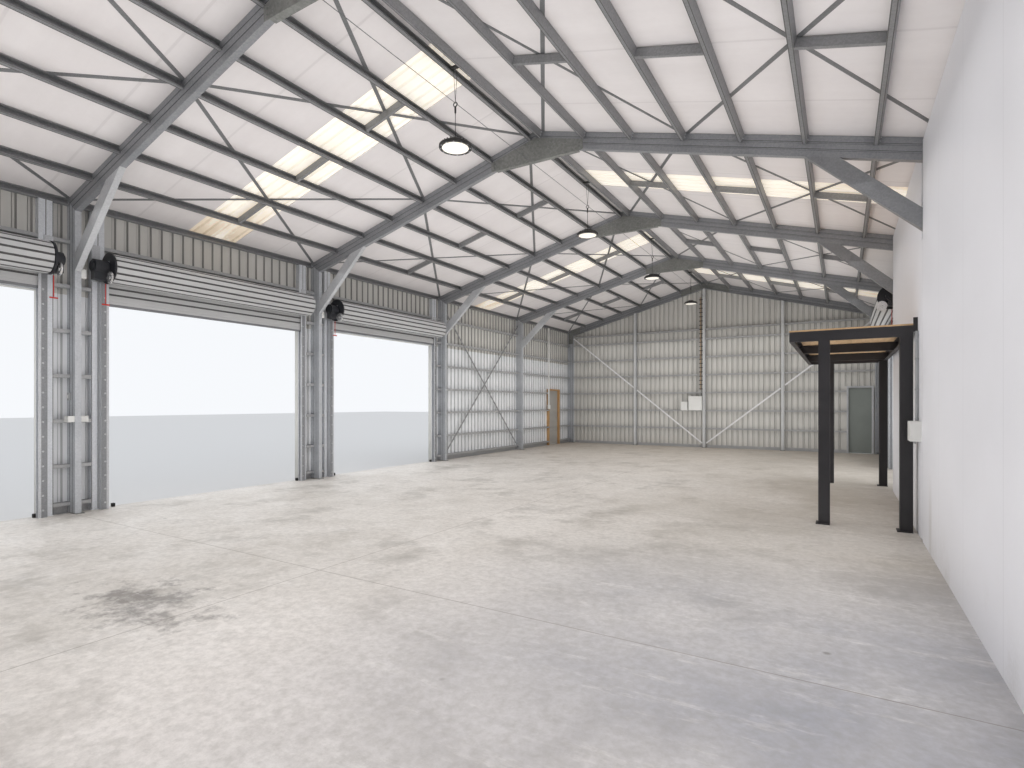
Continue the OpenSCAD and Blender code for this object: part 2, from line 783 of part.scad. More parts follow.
// Flat straps on the inner faces of the girts
module wall_bracing() {
    color(galv) {
        for (k = [0, 4])
            x_bar(-half + purlin_d, -half + purlin_d + strap_t)
                cross(bay_start(k), bay_end(k), floor_z + base_t + strap_w, inner_z - strap_w);
        both_ends() both_sides() y_bar(long / 2 - purlin_d - strap_t, long / 2 - purlin_d) {
            strap(gable_line(beside), gable_line(mullion_x - beside));
            strap(gable_line(mullion_x + beside), gable_line(inner_x - strap_w / 2));
        }
    }
}
// The line of a gable's strap, from the middle mullion's foot to the corner, cut at the mullions
beside = (col_b + strap_w) / 2;
strap_foot = floor_z + 3 * strap_w;
strap_head = inner_z - 2 * strap_w;
function gable_line(x) = [x, strap_foot + (strap_head - strap_foot) * (x - beside) / (inner_x - beside)];

// Roller doors on the right wall; the left ones are their mirror images. The roll is as wide as
// the curtain, whose edges run in the guides
guide_x = half - purlin_d;
drum_r = drum_d / 2;
wheel_rim = 10;
wheel_d = drum_d + 2 * wheel_rim;
drum_x = guide_x - guide_d / 2 + curtain_t / 2 - drum_r;
drum_z = floor_z + drum_h;
guide_share = 0.4;
guide_end = drum_z - guide_share * wheel_d;
axle_d = 50;
rail_h = 70;
curtain_up = 14;
curtain_down = 105;
low_curtain_bay = 2;
far_motor_bay = 1;
function drum_y0(k) = door_y0(k) - curtain_t;
function drum_y1(k) = door_y1(k) + curtain_t;
// Each lath of the curtain is a raised band with a groove beside it, round the roll and below it
lath_rise = 12;
groove_end = 0.14;
band_start = 0.22;
band_end = 0.92;
function lath_band(i) = [[i, 0], [i + groove_end, 0], [i + band_start, 1], [i + band_end, 1]];
function roll_outline() = [for (i = [0:roll_ribs - 1]) each [for (p = lath_band(i))
    let (a = p[0] * 360 / roll_ribs, r = drum_r - lath_rise + p[1] * lath_rise) [r * cos(a), r * sin(a)]]];
function hanging_outline(end) =
    let (lath = PI * drum_d / roll_ribs, low = end + rail_h, high = drum_z,
        laths = floor((high - low) / lath), skin = curtain_t - lath_rise,
        out = [for (i = [0:laths - 1]) each [for (p = lath_band(i))
            [skin / 2 + p[1] * lath_rise / 2, low + p[0] * lath]]])
    concat([[curtain_t / 2, end], [curtain_t / 2, low]], out, [[skin / 2, high], [-skin / 2, high]],
        [for (p = backwards(out)) [-p[0], p[1]]], [[-curtain_t / 2, low], [-curtain_t / 2, end]]);
module curtain(k) {
    along_y = [-90, 0, 0];
    end = head_z + (k == low_curtain_bay ? -curtain_down : curtain_up);
    translate([drum_x, drum_y0(k), drum_z]) rotate(along_y)
        linear_extrude(drum_y1(k) - drum_y0(k)) polygon(roll_outline());
    translate([drum_x, drum_y0(k) - axle_out, drum_z]) rotate(along_y)
        cylinder(h = drum_y1(k) - drum_y0(k) + 2 * axle_out, d = axle_d, $fn = 24);
    translate([guide_x - guide_d / 2, 0, 0]) y_bar(drum_y0(k), drum_y1(k)) polygon(hanging_outline(end));
}
module roller_door_curtains() {
    color(clad) {
        mirror([1, 0, 0]) for (k = door_bays) curtain(k);
        curtain(right_door_bay);
    }
}
// A guide is a channel, open to the curtain's edge, and stands a little way into the opening
guide_in = 28;
module guide() {
    wall = 10;
    difference() {
        block(guide_x - guide_d, guide_x, 0, guide_b, floor_z, guide_end);
        block(guide_x - guide_d + wall, guide_x - wall, wall, guide_b + tiny, floor_z - tiny,
            guide_end + tiny);
    }
}
module guide_pair(k) {
    translate([0, door_y0(k) - guide_b + guide_in, 0]) guide();
    translate([0, door_y1(k) + guide_b - guide_in, 0]) mirror([0, 1, 0]) guide();
}
module roller_door_guides() {
    color(galv) {
        mirror([1, 0, 0]) for (k = door_bays) guide_pair(k);
        guide_pair(right_door_bay);
    }
}
// Each roll has its motor at the near end, and one door of the left wall at the far end
module turned_end(k) {
    if (k == far_motor_bay) {
        translate([0, door_y0(k) + door_y1(k), 0]) mirror([0, 1, 0]) children();
    } else {
        children();
    }
}
module bracket(y, foot) {
    high = girt_z(over_row + 1) + purlin_b / 2;
    block(drum_x - axle_d, guide_x, y, y + plate_t, drum_z - 2 * axle_d, drum_z + 2 * axle_d);
    block(guide_x - plate_t, guide_x, min(y, y + foot), max(y + plate_t, y + foot), guide_end + seat, high);
}
module bracket_pair(k) {
    bracket(drum_y0(k) - axle_out - wheel_t - plate_t, -2 * axle_d);
    bracket(drum_y1(k) + axle_out, 2 * axle_d);
}
module roller_door_brackets() {
    color(galv) {
        mirror([1, 0, 0]) for (k = door_bays) turned_end(k) bracket_pair(k);
        bracket_pair(right_door_bay);
    }
}
// The end wheel stands between the roll and its bracket. Past the bracket come the motor and its
// end cap on the drum's axis, and the control box and the release pull with its cross handle
cap_share = 0.7;
control_w = 120;
control_h = 90;
pull_d = 8;
pull_w = 90;
pull_in = 20;
grip_d = 18;
module motor(k) {
    y0 = drum_y0(k) - axle_out;
    y1 = y0 - wheel_t - plate_t;
    box_low = drum_z - motor_d / 2 - control_h;
    body = k == far_motor_bay ? far_motor_l : motor_l;
    translate([drum_x, y0, drum_z]) rotate([90, 0, 0]) cylinder(h = wheel_t, d = wheel_d, $fn = 48);
    translate([drum_x, y1, drum_z]) rotate([90, 0, 0]) {
        cylinder(h = body, d = motor_d, $fn = 36);
        cylinder(h = body + cap_t, d = cap_share * motor_d, $fn = 32);
    }
    translate([drum_x - control_w / 2, y1 - body, box_low]) cube([control_w, body, motor_d]);
    translate([drum_x, y1 - pull_in, box_low - pull_l]) {
        cylinder(h = pull_l + tiny, d = pull_d, $fn = 16);
        translate([0, pull_w / 2, 0]) rotate([90, 0, 0]) cylinder(h = pull_w, d = grip_d, $fn = 20);
    }
}
module roller_door_motors() {
    color(black) {
        mirror([1, 0, 0]) for (k = door_bays) turned_end(k) motor(k);
        motor(right_door_bay);
    }
}

// Door parts: x from the leaf's hinge edge, y outwards from its outer face, z from the floor
hinge_r = 7;
hinge_y = 8;
hinge_h = 45;
hinge_gap = 0.3;
hinge_plate = 3;
hinge_plate_w = 38;
hinge_heights = [250, 1000, 1750];
stop_t = 15;
stop_w = 20;
frame_depth = sheet_t + purlin_d;
module knuckle(z) {
    translate([-leaf_gap / 2, hinge_y, z]) cylinder(h = hinge_h, r = hinge_r, $fn = 32);
}
module door_frame(w) {
    top = leaf_foot + leaf_h + leaf_gap;
    x0 = -leaf_gap - jamb_w;
    x1 = w + leaf_gap;
    stop_y = -leaf_t - leaf_gap;
    block(x0, -leaf_gap, -frame_depth, 0, 0, top + jamb_w);
    block(x1, x1 + jamb_w, -frame_depth, 0, 0, top + jamb_w);
    block(-leaf_gap, x1, -frame_depth, 0, top, top + jamb_w);
    block(-leaf_gap, -leaf_gap + stop_t, stop_y - stop_w, stop_y, 0, top);
    block(x1 - stop_t, x1, stop_y - stop_w, stop_y, 0, top);
    block(-leaf_gap, x1, stop_y - stop_w, stop_y, top - stop_t, top);
    for (z = hinge_heights) {
        knuckle(z);
        block(-leaf_gap - hinge_plate_w, -leaf_gap, 0, hinge_plate, z, z + hinge_h);
    }
}
// A lever on each face stands on a spindle, over a plate with the lock
handle_h = 1000;
handle_x = 70;
lever_l = 120;
lever_w = 20;
lever_t = 12;
lever_off = 45;
spindle_d = 22;
lock_w = 50;
lock_l = 160;
lock_t = 6;
module door_handle() {
    translate([-lock_w / 2, 0, -lock_l / 2]) cube([lock_w, lock_t, lock_l]);
    rotate([-90, 0, 0]) cylinder(h = lever_off, d = spindle_d, $fn = 24);
    translate([-lever_l, lever_off - lever_t, -lever_w / 2]) cube([lever_l, lever_t, lever_w]);
}
module door_leaf(w) {
    block(0, w, -leaf_t, 0, leaf_foot, leaf_foot + leaf_h);
    for (z = hinge_heights) {
        knuckle(z + hinge_h + hinge_gap);
        block(0, hinge_plate_w, 0, hinge_plate, z + hinge_h + hinge_gap, z + 2 * hinge_h + hinge_gap);
    }
    translate([w - handle_x, 0, handle_h]) {
        door_handle();
        translate([0, -leaf_t, 0]) mirror([0, 1, 0]) door_handle();
    }
}
module at_side_door() {
    translate([-half - sheet_t, side_y0, floor_z]) rotate(90) children();
}
module at_rear_door() {
    translate([rear_x0, long / 2 + sheet_t, floor_z]) children();
}
module side_door_frame() {
    color([0.55, 0.4, 0.25]) at_side_door() door_frame(leaf_w);
}
module side_door_leaf() {
    color([0.6, 0.5, 0.35]) at_side_door() door_leaf(leaf_w);
}
module rear_door_frame() {
    color(galv) at_rear_door() door_frame(rear_leaf_w);
}
module rear_door_leaf() {
    color([0.5, 0.56, 0.52]) at_rear_door() door_leaf(rear_leaf_w);
}

// The platform stands on four posts beside the white wall, with two cleats that reach the wall
deck_y0 = frame_y(3) + deck_off;
deck_y1 = deck_y0 + deck_l;
wall_gap = 45;
deck_x1 = white_x - wall_gap;
deck_x0 = deck_x1 - deck_w;
beam_top = floor_z + deck_h - ply_t;
beam_low = beam_top - beam_d;
post_in = 335;
rear_in = 640;
joist_step = 2000;
cleat_t = 10;
cleat_up = 94;
cleat_in = 50;
post_xs = [deck_x0 + post_in, deck_x1 - post_w];
post_ys = [deck_y0, deck_y1 - rear_in];
beam_b = 60;
beam_t = 6;
module platform_posts() {
    wall = 5;
    color(black) for (x = post_xs) for (y = post_ys) {
        translate([x, y, floor_z]) difference() {
            cube([post_w, post_w, beam_low - floor_z]);
            translate([wall, wall, base_t])
                cube([post_w - 2 * wall, post_w - 2 * wall, beam_low - floor_z - 2 * base_t]);
        }
        block(x - base_rim, x + post_w, y - base_rim, y + post_w + base_rim, floor_z, floor_z + base_t);
    }
}
module channel() {
    polygon([[0, 0], [beam_b, 0], [beam_b, beam_t], [beam_t, beam_t], [beam_t, beam_d - beam_t],
        [beam_b, beam_d - beam_t], [beam_b, beam_d], [0, beam_d]]);
}
module platform_beams() {
    joist_ys = concat([for (y = [deck_y0:joist_step:deck_y1 - 2 * beam_b]) y], [deck_y1 - beam_b]);
    color(black) {
        translate([deck_x0, 0, beam_low]) y_bar(deck_y0, deck_y1) channel();
        translate([deck_x1, 0, beam_low]) mirror([1, 0, 0]) y_bar(deck_y0, deck_y1) channel();
        for (y = joist_ys)
            block(deck_x0 + beam_t / 2, deck_x1 - beam_t / 2, y, y + beam_b, beam_low, beam_top);
        for (y = [deck_y0, white_end - 2 * beam_b]) {
            block(deck_x1 - tiny, white_x, y, y + cleat_t, beam_low + cleat_in, beam_top - seat);
            block(deck_x1 + seat, white_x, y, y + cleat_t, beam_low + cleat_in, beam_top + cleat_up);
            block(white_x - cleat_t, white_x, y, y + beam_b, beam_low + cleat_in, beam_top + cleat_up);
        }
    }
}
module platform_deck() {
    color([0.72, 0.58, 0.42]) block(deck_x0, deck_x1, deck_y0, deck_y1, beam_top, beam_top + ply_t);
}

// A taut wire runs under the apex plates. Each lamp hangs by a rod and a hook on a ring, which goes
// round the wire and hangs by two rods from the ridge purlins
wire_r = 4;
wire_z = gusset_z - wire_gap - wire_r;
lamp_tall = 105;
rim_share = 0.08;
neck_share = 0.24;
rod_d = 8;
link_d = 24;
link_h = 80;
ring_r = 32;
ring_in = 23;
ring_t = 10;
ring_z = wire_z + wire_r + seat - ring_in;
hanger_d = 6;
hanger_out = 30;
// Half section of a lamp: lens, rim, dome and the round driver housing on top
function lamp_outline() =
    let (r = lamp_d / 2, rim = rim_share * lamp_d, neck = neck_share * lamp_d, lens = 4,
        dome = [for (a = [0:15:75]) [neck + (r - neck) * cos(a), rim + (lamp_tall / 2 - rim) * sin(a)]])
    concat([[0, lens], [r - rim, lens], [r - rim, 0], [r, 0]], dome,
        [[neck, lamp_tall / 2], [neck, lamp_tall - rim], [neck - rim / 2, lamp_tall], [0, lamp_tall]]);
module high_bay_lamps() {
    z = wire_z - lamp_drop;
    cleat_x = ridge_gap * cos(roof_pitch) - seat;
    cleat_z = ridge_z - purlin_d;
    ring_top = ring_z + (ring_r + ring_in) / 2;
    hook_z = ring_z - (ring_r + ring_in) / 2 - link_h;
    lean = atan(hanger_out / (cleat_z - ring_top));
    color(black) for (k = [0:bays - 1]) translate([0, frame_y(k) + frame_step / 2, 0]) {
        translate([0, 0, z]) rotate_extrude($fn = 48) polygon(lamp_outline());
        translate([0, 0, z + lamp_tall / 2])
            cylinder(h = hook_z - z - lamp_tall / 2 + tiny, d = rod_d, $fn = 16);
        translate([0, 0, hook_z]) cylinder(h = link_h, d = link_d, $fn = 20);
        translate([0, ring_t / 2, ring_z]) rotate([90, 0, 0]) difference() {
            cylinder(h = ring_t, r = ring_r, $fn = 32);
            translate([0, 0, -tiny]) cylinder(h = ring_t + 2 * tiny, r = ring_in, $fn = 32);
        }
        for (side = [-1, 1]) translate([0, 0, ring_top]) rotate([0, side * lean, 0])
            cylinder(h = (cleat_z + tiny - ring_top) / cos(lean), d = hanger_d, $fn = 16);
        block(-cleat_x, cleat_x, -purlin_b / 2, purlin_b / 2, cleat_z, cleat_z + purlin_b / 2);
    }
}
module lamp_wire() {
    color(galv) translate([0, -long / 2 + mullion_d, wire_z]) rotate([-90, 0, 0])
        cylinder(h = long - 2 * mullion_d, r = wire_r, $fn = 16);
}

// Boxes and a cable ladder on the inner faces of the rear girts, left of the middle mullion
girt_face = long / 2 - purlin_d;
mullion_side = -col_b / 2;
board_t = 180;
module board(x1, w, z0, z1) {
    lip = 8;
    block(x1 - w, x1, girt_face - board_t, girt_face, z0, z1);
    block(x1 - w + lip, x1 - lip, girt_face - board_t - lip, girt_face - board_t, z0 + lip, z1 - lip);
}
module switchboard() {
    big_w = 450;
    small_w = 225;
    small_h = 310;
    gap = 40;
    low = girt_z(1) + purlin_b / 8;
    color(white) {
        board(mullion_side - notch_gap, big_w, low, low + board_tall);
        board(mullion_side - notch_gap - big_w - gap, small_w, low, low + small_h);
    }
}
module cable_ladder() {
    rail = 12;
    rail_d = 30;
    rung_step = 150;
    rung_d = 16;
    low = girt_z(2) + purlin_b;
    high = floor_z + ladder_top;
    rungs = floor((high - low) / rung_step);
    color(galv) translate([mullion_side - ladder_w, girt_face - rail_d, 0]) {
        for (x = [0, ladder_w - rail]) block(x, x + rail, 0, rail_d, low, high);
        for (i = [0:rungs - 1]) {
            z = low + (i + 0.5) * rung_step;
            block(rail - tiny, ladder_w - rail + tiny, rail_d - rung_d, rail_d - tiny, z, z + rung_d);
        }
    }
}

// Small boxes on the left columns' lips, two outlets and a switch beside one of them, a duct
// beside the side door, and the conduit with its box on the white wall
module column_box() {
    box_w = 62;
    box_t = 60;
    box_h = 127;
    box_up = 3326;
    block(inner_x, inner_x + box_t, col_b, col_b + box_w, floor_z + box_up, floor_z + box_up + box_h);
}
outlet_bay = 2;
module outlets() {
    outlet_up = 1290;
    outlet_h = 85;
    outlet_w = 115;
    outlet_t = 75;
    low = floor_z + outlet_up;
    switch_up = 1600;
    switch_w = 50;
    switch_t = 25;
    switch_low = floor_z + switch_up;
    translate([0, frame_y(outlet_bay), 0]) {
        block(inner_x + notch_gap, guide_x, -outlet_t, 0, low, low + outlet_h);
        block(guide_x - 2 * switch_t, guide_x, col_b + notch_gap, col_b + notch_gap + outlet_w, low,
            low + outlet_h);
        block(guide_x - switch_t, guide_x + switch_t, -switch_t, 0, switch_low, switch_low + 2 * switch_w);
    }
}
module duct() {
    duct_w = 50;
    duct_t = 40;
    box_w = 120;
    box_h = 150;
    box_t = 60;
    box_up = 1500;
    low = floor_z + box_up;
    high = inner_z + purlin_d;
    y1 = side_y0 - side_out - leaf_gap;
    block(guide_x - duct_t, guide_x, y1 - (box_w + duct_w) / 2, y1 - (box_w - duct_w) / 2, low, high);
    block(guide_x - box_t, guide_x, y1 - box_w, y1, low - box_h, low);
}
module wall_conduit() {
    deck_gap = 60;
    y = deck_y0 - deck_gap;
    r = conduit_d / 2;
    box_up = 1115;
    box_z = floor_z + box_up;
    box_w = 300;
    box_h = 230;
    box_t = 105;
    top = beam_low + cleat_in;
    translate([white_x - r - seat, y - r, box_z + box_h]) cylinder(h = top - box_z - box_h, r = r, $fn = 24);
    block(white_x - box_t, white_x, y - box_w, y, box_z, box_z + box_h);
}
module wall_fittings() {
    color(white) {
        mirror([1, 0, 0]) for (k = door_bays) translate([0, frame_y(k), 0]) column_box();
        mirror([1, 0, 0]) outlets();
        mirror([1, 0, 0]) duct();
        wall_conduit();
    }
}

floor_slab();
column_base_plates();
columns();
left_rafters();
right_rafters();
knee_braces();
haunch_plates();
apex_plates();
roof_purlins();
roof_bridging();
roof_bracing();
roof_sheets();
roof_lining();
skylight_sheets();
ridge_cap();
flashings();
gutters();
downpipes();
side_wall_girts();
gable_girts();
gable_mullions();
doorway_framing();
side_wall_lower_sheets();
side_wall_upper_sheets();
side_door_over_sheet();
rear_wall_lower_sheets();
gable_sheets();
white_wall();
wall_bracing();
roller_door_curtains();
roller_door_guides();
roller_door_brackets();
roller_door_motors();
side_door_frame();
side_door_leaf();
rear_door_frame();
rear_door_leaf();
platform_posts();
platform_beams();
platform_deck();
high_bay_lamps();
lamp_wire();
switchboard();
cable_ladder();
wall_fittings();
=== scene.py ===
# %% [markdown]
# # A steel portal frame factory building
#
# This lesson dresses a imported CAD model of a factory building: cold formed steel frames,
# ribbed sheets, roller doorways and a trowelled concrete floor. The CAD frame already holds
# every part with a real size. What is left for Blender is the finish of each surface, and the
# small fasteners and fittings that make the steelwork look built and not drawn.

import math

import bmesh
import bpy
from mathutils import Matrix, Vector


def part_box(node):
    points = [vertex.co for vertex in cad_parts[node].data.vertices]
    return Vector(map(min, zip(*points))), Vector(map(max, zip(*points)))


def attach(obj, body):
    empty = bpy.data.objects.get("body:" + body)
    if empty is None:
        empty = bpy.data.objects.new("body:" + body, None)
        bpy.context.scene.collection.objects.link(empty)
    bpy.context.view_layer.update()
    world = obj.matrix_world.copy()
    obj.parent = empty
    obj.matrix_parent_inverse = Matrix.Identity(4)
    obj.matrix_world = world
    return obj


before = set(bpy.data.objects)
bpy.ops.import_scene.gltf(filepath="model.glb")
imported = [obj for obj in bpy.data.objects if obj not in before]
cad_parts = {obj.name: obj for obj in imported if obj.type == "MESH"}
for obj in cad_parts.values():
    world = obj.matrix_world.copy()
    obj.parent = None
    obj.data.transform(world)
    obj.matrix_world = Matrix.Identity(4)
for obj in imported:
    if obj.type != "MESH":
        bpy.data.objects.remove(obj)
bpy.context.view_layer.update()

# %% [markdown]
# Places are read from the frame wherever it knows them. The columns give the width and the
# length of the hall, and the slab gives the floor. Only the rhythm of the building, six equal
# bays, and the section sizes of the steel are written here, because a box can't tell them.

# %% The building's own measures
half_span, half_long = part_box("columns")[1].xy
floor_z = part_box("floor_slab")[1].z
bays = 6
bay = 2 * half_long / bays
roof_pitch = math.radians(15)
eave_z = floor_z + 4.45
ridge_z = eave_z + half_span * math.tan(roof_pitch)
column_depth = 0.25
column_width = 0.076
inner_x = half_span - column_depth
purlin_depth = 0.10
girt_face_x = half_span - purlin_depth
frame_ys = [-half_long + k * bay for k in range(bays + 1)]
print("hall:", round(2 * half_span, 3), "by", round(2 * half_long, 3), "m")

# %% [markdown]
# Three doorways are cut in the left wall and one in the right. Each is written as its side, the
# bay it stands in and the y of its near edge.

# %% Doorways
door_offset = 0.42
door_width = 3.42
door_bays = ((-1, 1), (-1, 2), (-1, 3), (1, 4))
doorways = [(side, k, frame_ys[k] + door_offset) for side, k in door_bays]
print("doorways:", len(doorways))

# %% [markdown]
# The photograph was taken inside the hall, from the front right corner, with a wide lens held
# level. The lens comes from its focal length in pixels, and a small shift keeps the horizon
# where the photograph has it without tilting the camera, so that columns stay upright.

# %% Camera
photo_width = 1024
photo_height = 768
focal_pixels = 550.9
horizon_row = 403.6
sensor_width = 36.0

camera_data = bpy.data.cameras.new("photo_camera")
camera_data.sensor_fit = "HORIZONTAL"
camera_data.sensor_width = sensor_width
camera_data.lens = focal_pixels * sensor_width / photo_width
camera_data.shift_y = (horizon_row - photo_height / 2) / photo_width
camera_data.clip_start = 0.05
camera = bpy.data.objects.new("photo_camera", camera_data)
camera.location = (4.17, -7.68, floor_z + 1.55)
camera.rotation_euler = (math.radians(90), 0, math.radians(30.9))
bpy.context.scene.collection.objects.link(camera)
bpy.context.scene.camera = camera
print("lens", round(camera_data.lens, 2), "mm")

# %% [markdown]
# Every material below is a small tree of nodes. The helpers add and wire a node in one line, and
# start a material with its shader and its Object coordinates.

# %% Node helpers
def put(tree, socket, value):
    """Links a socket to another one, or sets its value; a colour is written without its alpha."""
    if isinstance(value, bpy.types.NodeSocket):
        tree.links.new(value, socket)
    elif socket.type == "RGBA":
        socket.default_value = (*value, 1)
    else:
        socket.default_value = value


def add(tree, kind, inputs=None, **settings):
    """Adds a node with its settings, and puts a socket or a value into each input named."""
    new = tree.nodes.new(kind)
    for name, value in settings.items():
        setattr(new, name, value)
    for name, value in (inputs or {}).items():
        put(tree, new.inputs[name], value)
    return new


def start_material(name, **shader_values):
    """A new material: its tree, its Principled shader and its Object coordinates."""
    material = bpy.data.materials.new(name)
    material.use_nodes = True
    tree = material.node_tree
    shader = tree.nodes["Principled BSDF"]
    for socket, value in shader_values.items():
        shader.inputs[socket].default_value = value
    place = tree.nodes.new("ShaderNodeTexCoord").outputs["Object"]
    return material, tree, shader, place


print("node helpers ready")

# %% [markdown]
# The trees do their sums with a handful of nodes: mixes, ramps, products, noise and bump. The
# last helpers wire a surface, give the parts of a direction or a place, and draw thin lines that
# repeat along a coordinate.

# %% Small sums
def mix_colour(tree, factor, low, high):
    """Two colours mixed by a factor from 0 to 1; each may be a socket or a colour."""
    return add(tree, "ShaderNodeMix", {0: factor, 6: low, 7: high}, data_type="RGBA").outputs[2]


def ramp(tree, value, low, high, out_low=0.0, out_high=1.0):
    """Maps low..high to out_low..out_high, held at both ends."""
    return add(tree, "ShaderNodeMapRange", {
        "Value": value, "From Min": low, "From Max": high, "To Min": out_low, "To Max": out_high,
    }).outputs["Result"]


def math_node(tree, operation, first, second=0.0):
    return add(tree, "ShaderNodeMath", {0: first, 1: second}, operation=operation).outputs[0]


def times(tree, first, second):
    return math_node(tree, "MULTIPLY", first, second)


def vector_node(tree, operation, first, second):
    return add(tree, "ShaderNodeVectorMath", {0: first, 1: second}, operation=operation).outputs[0]


def noise(tree, place, scale, detail, roughness, distortion=0.0):
    return add(tree, "ShaderNodeTexNoise", {
        "Vector": place, "Scale": scale, "Detail": detail, "Roughness": roughness,
        "Distortion": distortion,
    }).outputs[0]


def bump(tree, height, distance, strength):
    return add(tree, "ShaderNodeBump", {
        "Height": height, "Distance": distance, "Strength": strength}).outputs[0]


def surface(tree, shader, colour, rough=None, normal=None):
    """Wires the colour of a material, and its roughness and bump where it has them."""
    for name, value in (("Base Color", colour), ("Roughness", rough), ("Normal", normal)):
        if value is not None:
            put(tree, shader.inputs[name], value)


def parts(tree, vector=None):
    """The x, y and z of a vector, or else of the surface's own direction."""
    if vector is None:
        vector = tree.nodes.new("ShaderNodeNewGeometry").outputs["Normal"]
    return add(tree, "ShaderNodeSeparateXYZ", {0: vector}).outputs


def joint_lines(tree, coordinate, pitch, offset, width):
    """1 inside thin lines repeated along one coordinate, 0 elsewhere."""
    moved = math_node(tree, "ADD", coordinate, pitch / 2 - offset)
    wrapped = math_node(tree, "FLOORED_MODULO", moved, pitch)
    near = math_node(tree, "ABSOLUTE", math_node(tree, "SUBTRACT", wrapped, pitch / 2))
    return ramp(tree, near, width / 2, width, 1.0, 0.0)


print("small sums ready")

# %% [markdown]
# Weather leaves the same trace on most of the surfaces here: broad clouds of slightly lighter
# and darker tone, and fine speckle in them. It is one group, used with other scales and
# strengths in each material. Its Stretch input pulls the clouds out along one axis, which
# turns them into the streaks that run down a sheet or along a rolled section.

# %% Group: weathering
def new_group(name, inputs, outputs):
    """A node group with its sockets: its tree, the node that gives and the node that returns."""
    group = bpy.data.node_groups.new(name, "ShaderNodeTree")
    for socket_name, kind, value in inputs:
        socket = group.interface.new_socket(socket_name, in_out="INPUT", socket_type=kind)
        if value is not None:
            socket.default_value = value
    for socket_name in outputs:
        group.interface.new_socket(socket_name, in_out="OUTPUT", socket_type="NodeSocketFloat")
    given = group.nodes.new("NodeGroupInput").outputs
    return group, given, group.nodes.new("NodeGroupOutput").inputs


weathering, given, result = new_group(
    "Weathering",
    [("Vector", "NodeSocketVector", None), ("Stretch", "NodeSocketVector", (1, 1, 1)),
     ("Cloud Scale", "NodeSocketFloat", 1.0), ("Speckle Scale", "NodeSocketFloat", 60.0),
     ("Cloud Share", "NodeSocketFloat", 0.7)],
    ["Tone", "Clouds", "Speckle"])
pulled = vector_node(weathering, "MULTIPLY", given["Vector"], given["Stretch"])
clouds = noise(weathering, pulled, given["Cloud Scale"], 4.0, 0.6)
speckle = noise(weathering, given["Vector"], given["Speckle Scale"], 2.0, 0.7)
clear_clouds = ramp(weathering, clouds, 0.3, 0.7)
blended = add(weathering, "ShaderNodeMix", {0: given["Cloud Share"], 2: speckle, 3: clear_clouds})
for name, value in (("Tone", blended.outputs[0]), ("Clouds", clear_clouds), ("Speckle", speckle)):
    put(weathering, result[name], value)


def weathered(tree, place, stretch=(1, 1, 1), clouds=1.0, speckle=60.0, share=0.7):
    used = add(tree, "ShaderNodeGroup", node_tree=weathering)
    for name, value in (("Vector", place), ("Stretch", stretch), ("Cloud Scale", clouds),
                        ("Speckle Scale", speckle), ("Cloud Share", share)):
        put(tree, used.inputs[name], value)
    return used.outputs


print("group Weathering:", len(weathering.nodes), "nodes")

# %% [markdown]
# Ribs and swages are pressed with slanted sides. Those sides lie in half shade, and painted shade
# darkens them, so across the hall they read as fine dark lines. The sheets and members all run
# square to the y axis or along it, so a face is a slanted one where its direction lies between
# the two. The second group turns a direction into that test: y squared times one minus y squared.

# %% Group: slanted side
slanted, given, result = new_group(
    "Slanted Side", [("Normal", "NodeSocketVector", None)], ["Factor"])
toward_y = parts(slanted, given["Normal"])["Y"]
y_squared = times(slanted, toward_y, toward_y)
between = times(slanted, y_squared, math_node(slanted, "SUBTRACT", 1.0, y_squared))
put(slanted, result["Factor"], ramp(slanted, between, 0.05, 0.13))


def fold_shade(tree, colour, dark, strength):
    """The colour, darkened with painted shade on the slanted sides of ribs and swages."""
    used = add(tree, "ShaderNodeGroup", node_tree=slanted)
    put(tree, used.inputs["Normal"], tree.nodes.new("ShaderNodeNewGeometry").outputs["Normal"])
    return mix_colour(tree, times(tree, used.outputs["Factor"], strength), colour, dark)


print("group Slanted Side:", len(slanted.nodes), "nodes")

# %% [markdown]
# Hot dip galvanising freezes into crystals a centimetre or so across, each a little lighter
# or darker than the next. A Voronoi pattern gives those cells. The zinc then dulls in broad
# patches, so gloss and tone also follow the weathering. Frames, purlins, plates and straps
# share this recipe with other tones and cell sizes. The slanted sides of the swages are darkened
# with painted shade. The straps across the gables are lighter than those on the side walls, and
# the knee braces on the right carry painted shade that makes them darker than those on the left,
# so for these two the tone also depends on the place across the hall.

# %% Material: galvanised steel
def galvanised(name, dark, light, cells_per_metre, metallic, rough, on_gables=None, painted_shade_on_right=None):
    material, tree, shader, place = start_material(name, Metallic=metallic)
    cells = add(tree, "ShaderNodeTexVoronoi", {"Vector": place, "Scale": cells_per_metre})
    cell_tone = add(tree, "ShaderNodeSeparateColor", {"Color": cells.outputs["Color"]}).outputs[0]
    wear = weathered(tree, place, clouds=1.6, speckle=35.0, share=0.6)
    tone = math_node(tree, "ADD", times(tree, cell_tone, 0.35), times(tree, wear["Tone"], 0.65))
    zinc = mix_colour(tree, tone, dark, light)
    across = parts(tree, place)["X"]
    # Painted shade: the knee braces on the right side of the hall are given darker tones.
    if painted_shade_on_right:
        painted_shade_tone = mix_colour(tree, tone, *painted_shade_on_right)
        zinc = mix_colour(tree, ramp(tree, across, -1.0, 1.0), zinc, painted_shade_tone)
    # Between the columns, on the gables, the straps take the lighter on_gables tone.
    if on_gables:
        out_from_middle = math_node(tree, "ABSOLUTE", across)
        between_columns = ramp(tree, out_from_middle, inner_x + 0.03, inner_x + 0.07, 1.0, 0.0)
        zinc = mix_colour(tree, between_columns, zinc, on_gables)
    surface(tree, shader, fold_shade(tree, zinc, (0.06, 0.062, 0.066), 0.7),
            ramp(tree, wear["Clouds"], 0, 1, rough, rough + 0.18),
            bump(tree, cell_tone, 0.0004, 0.25))
    return material


print("recipe for galvanised steel ready")
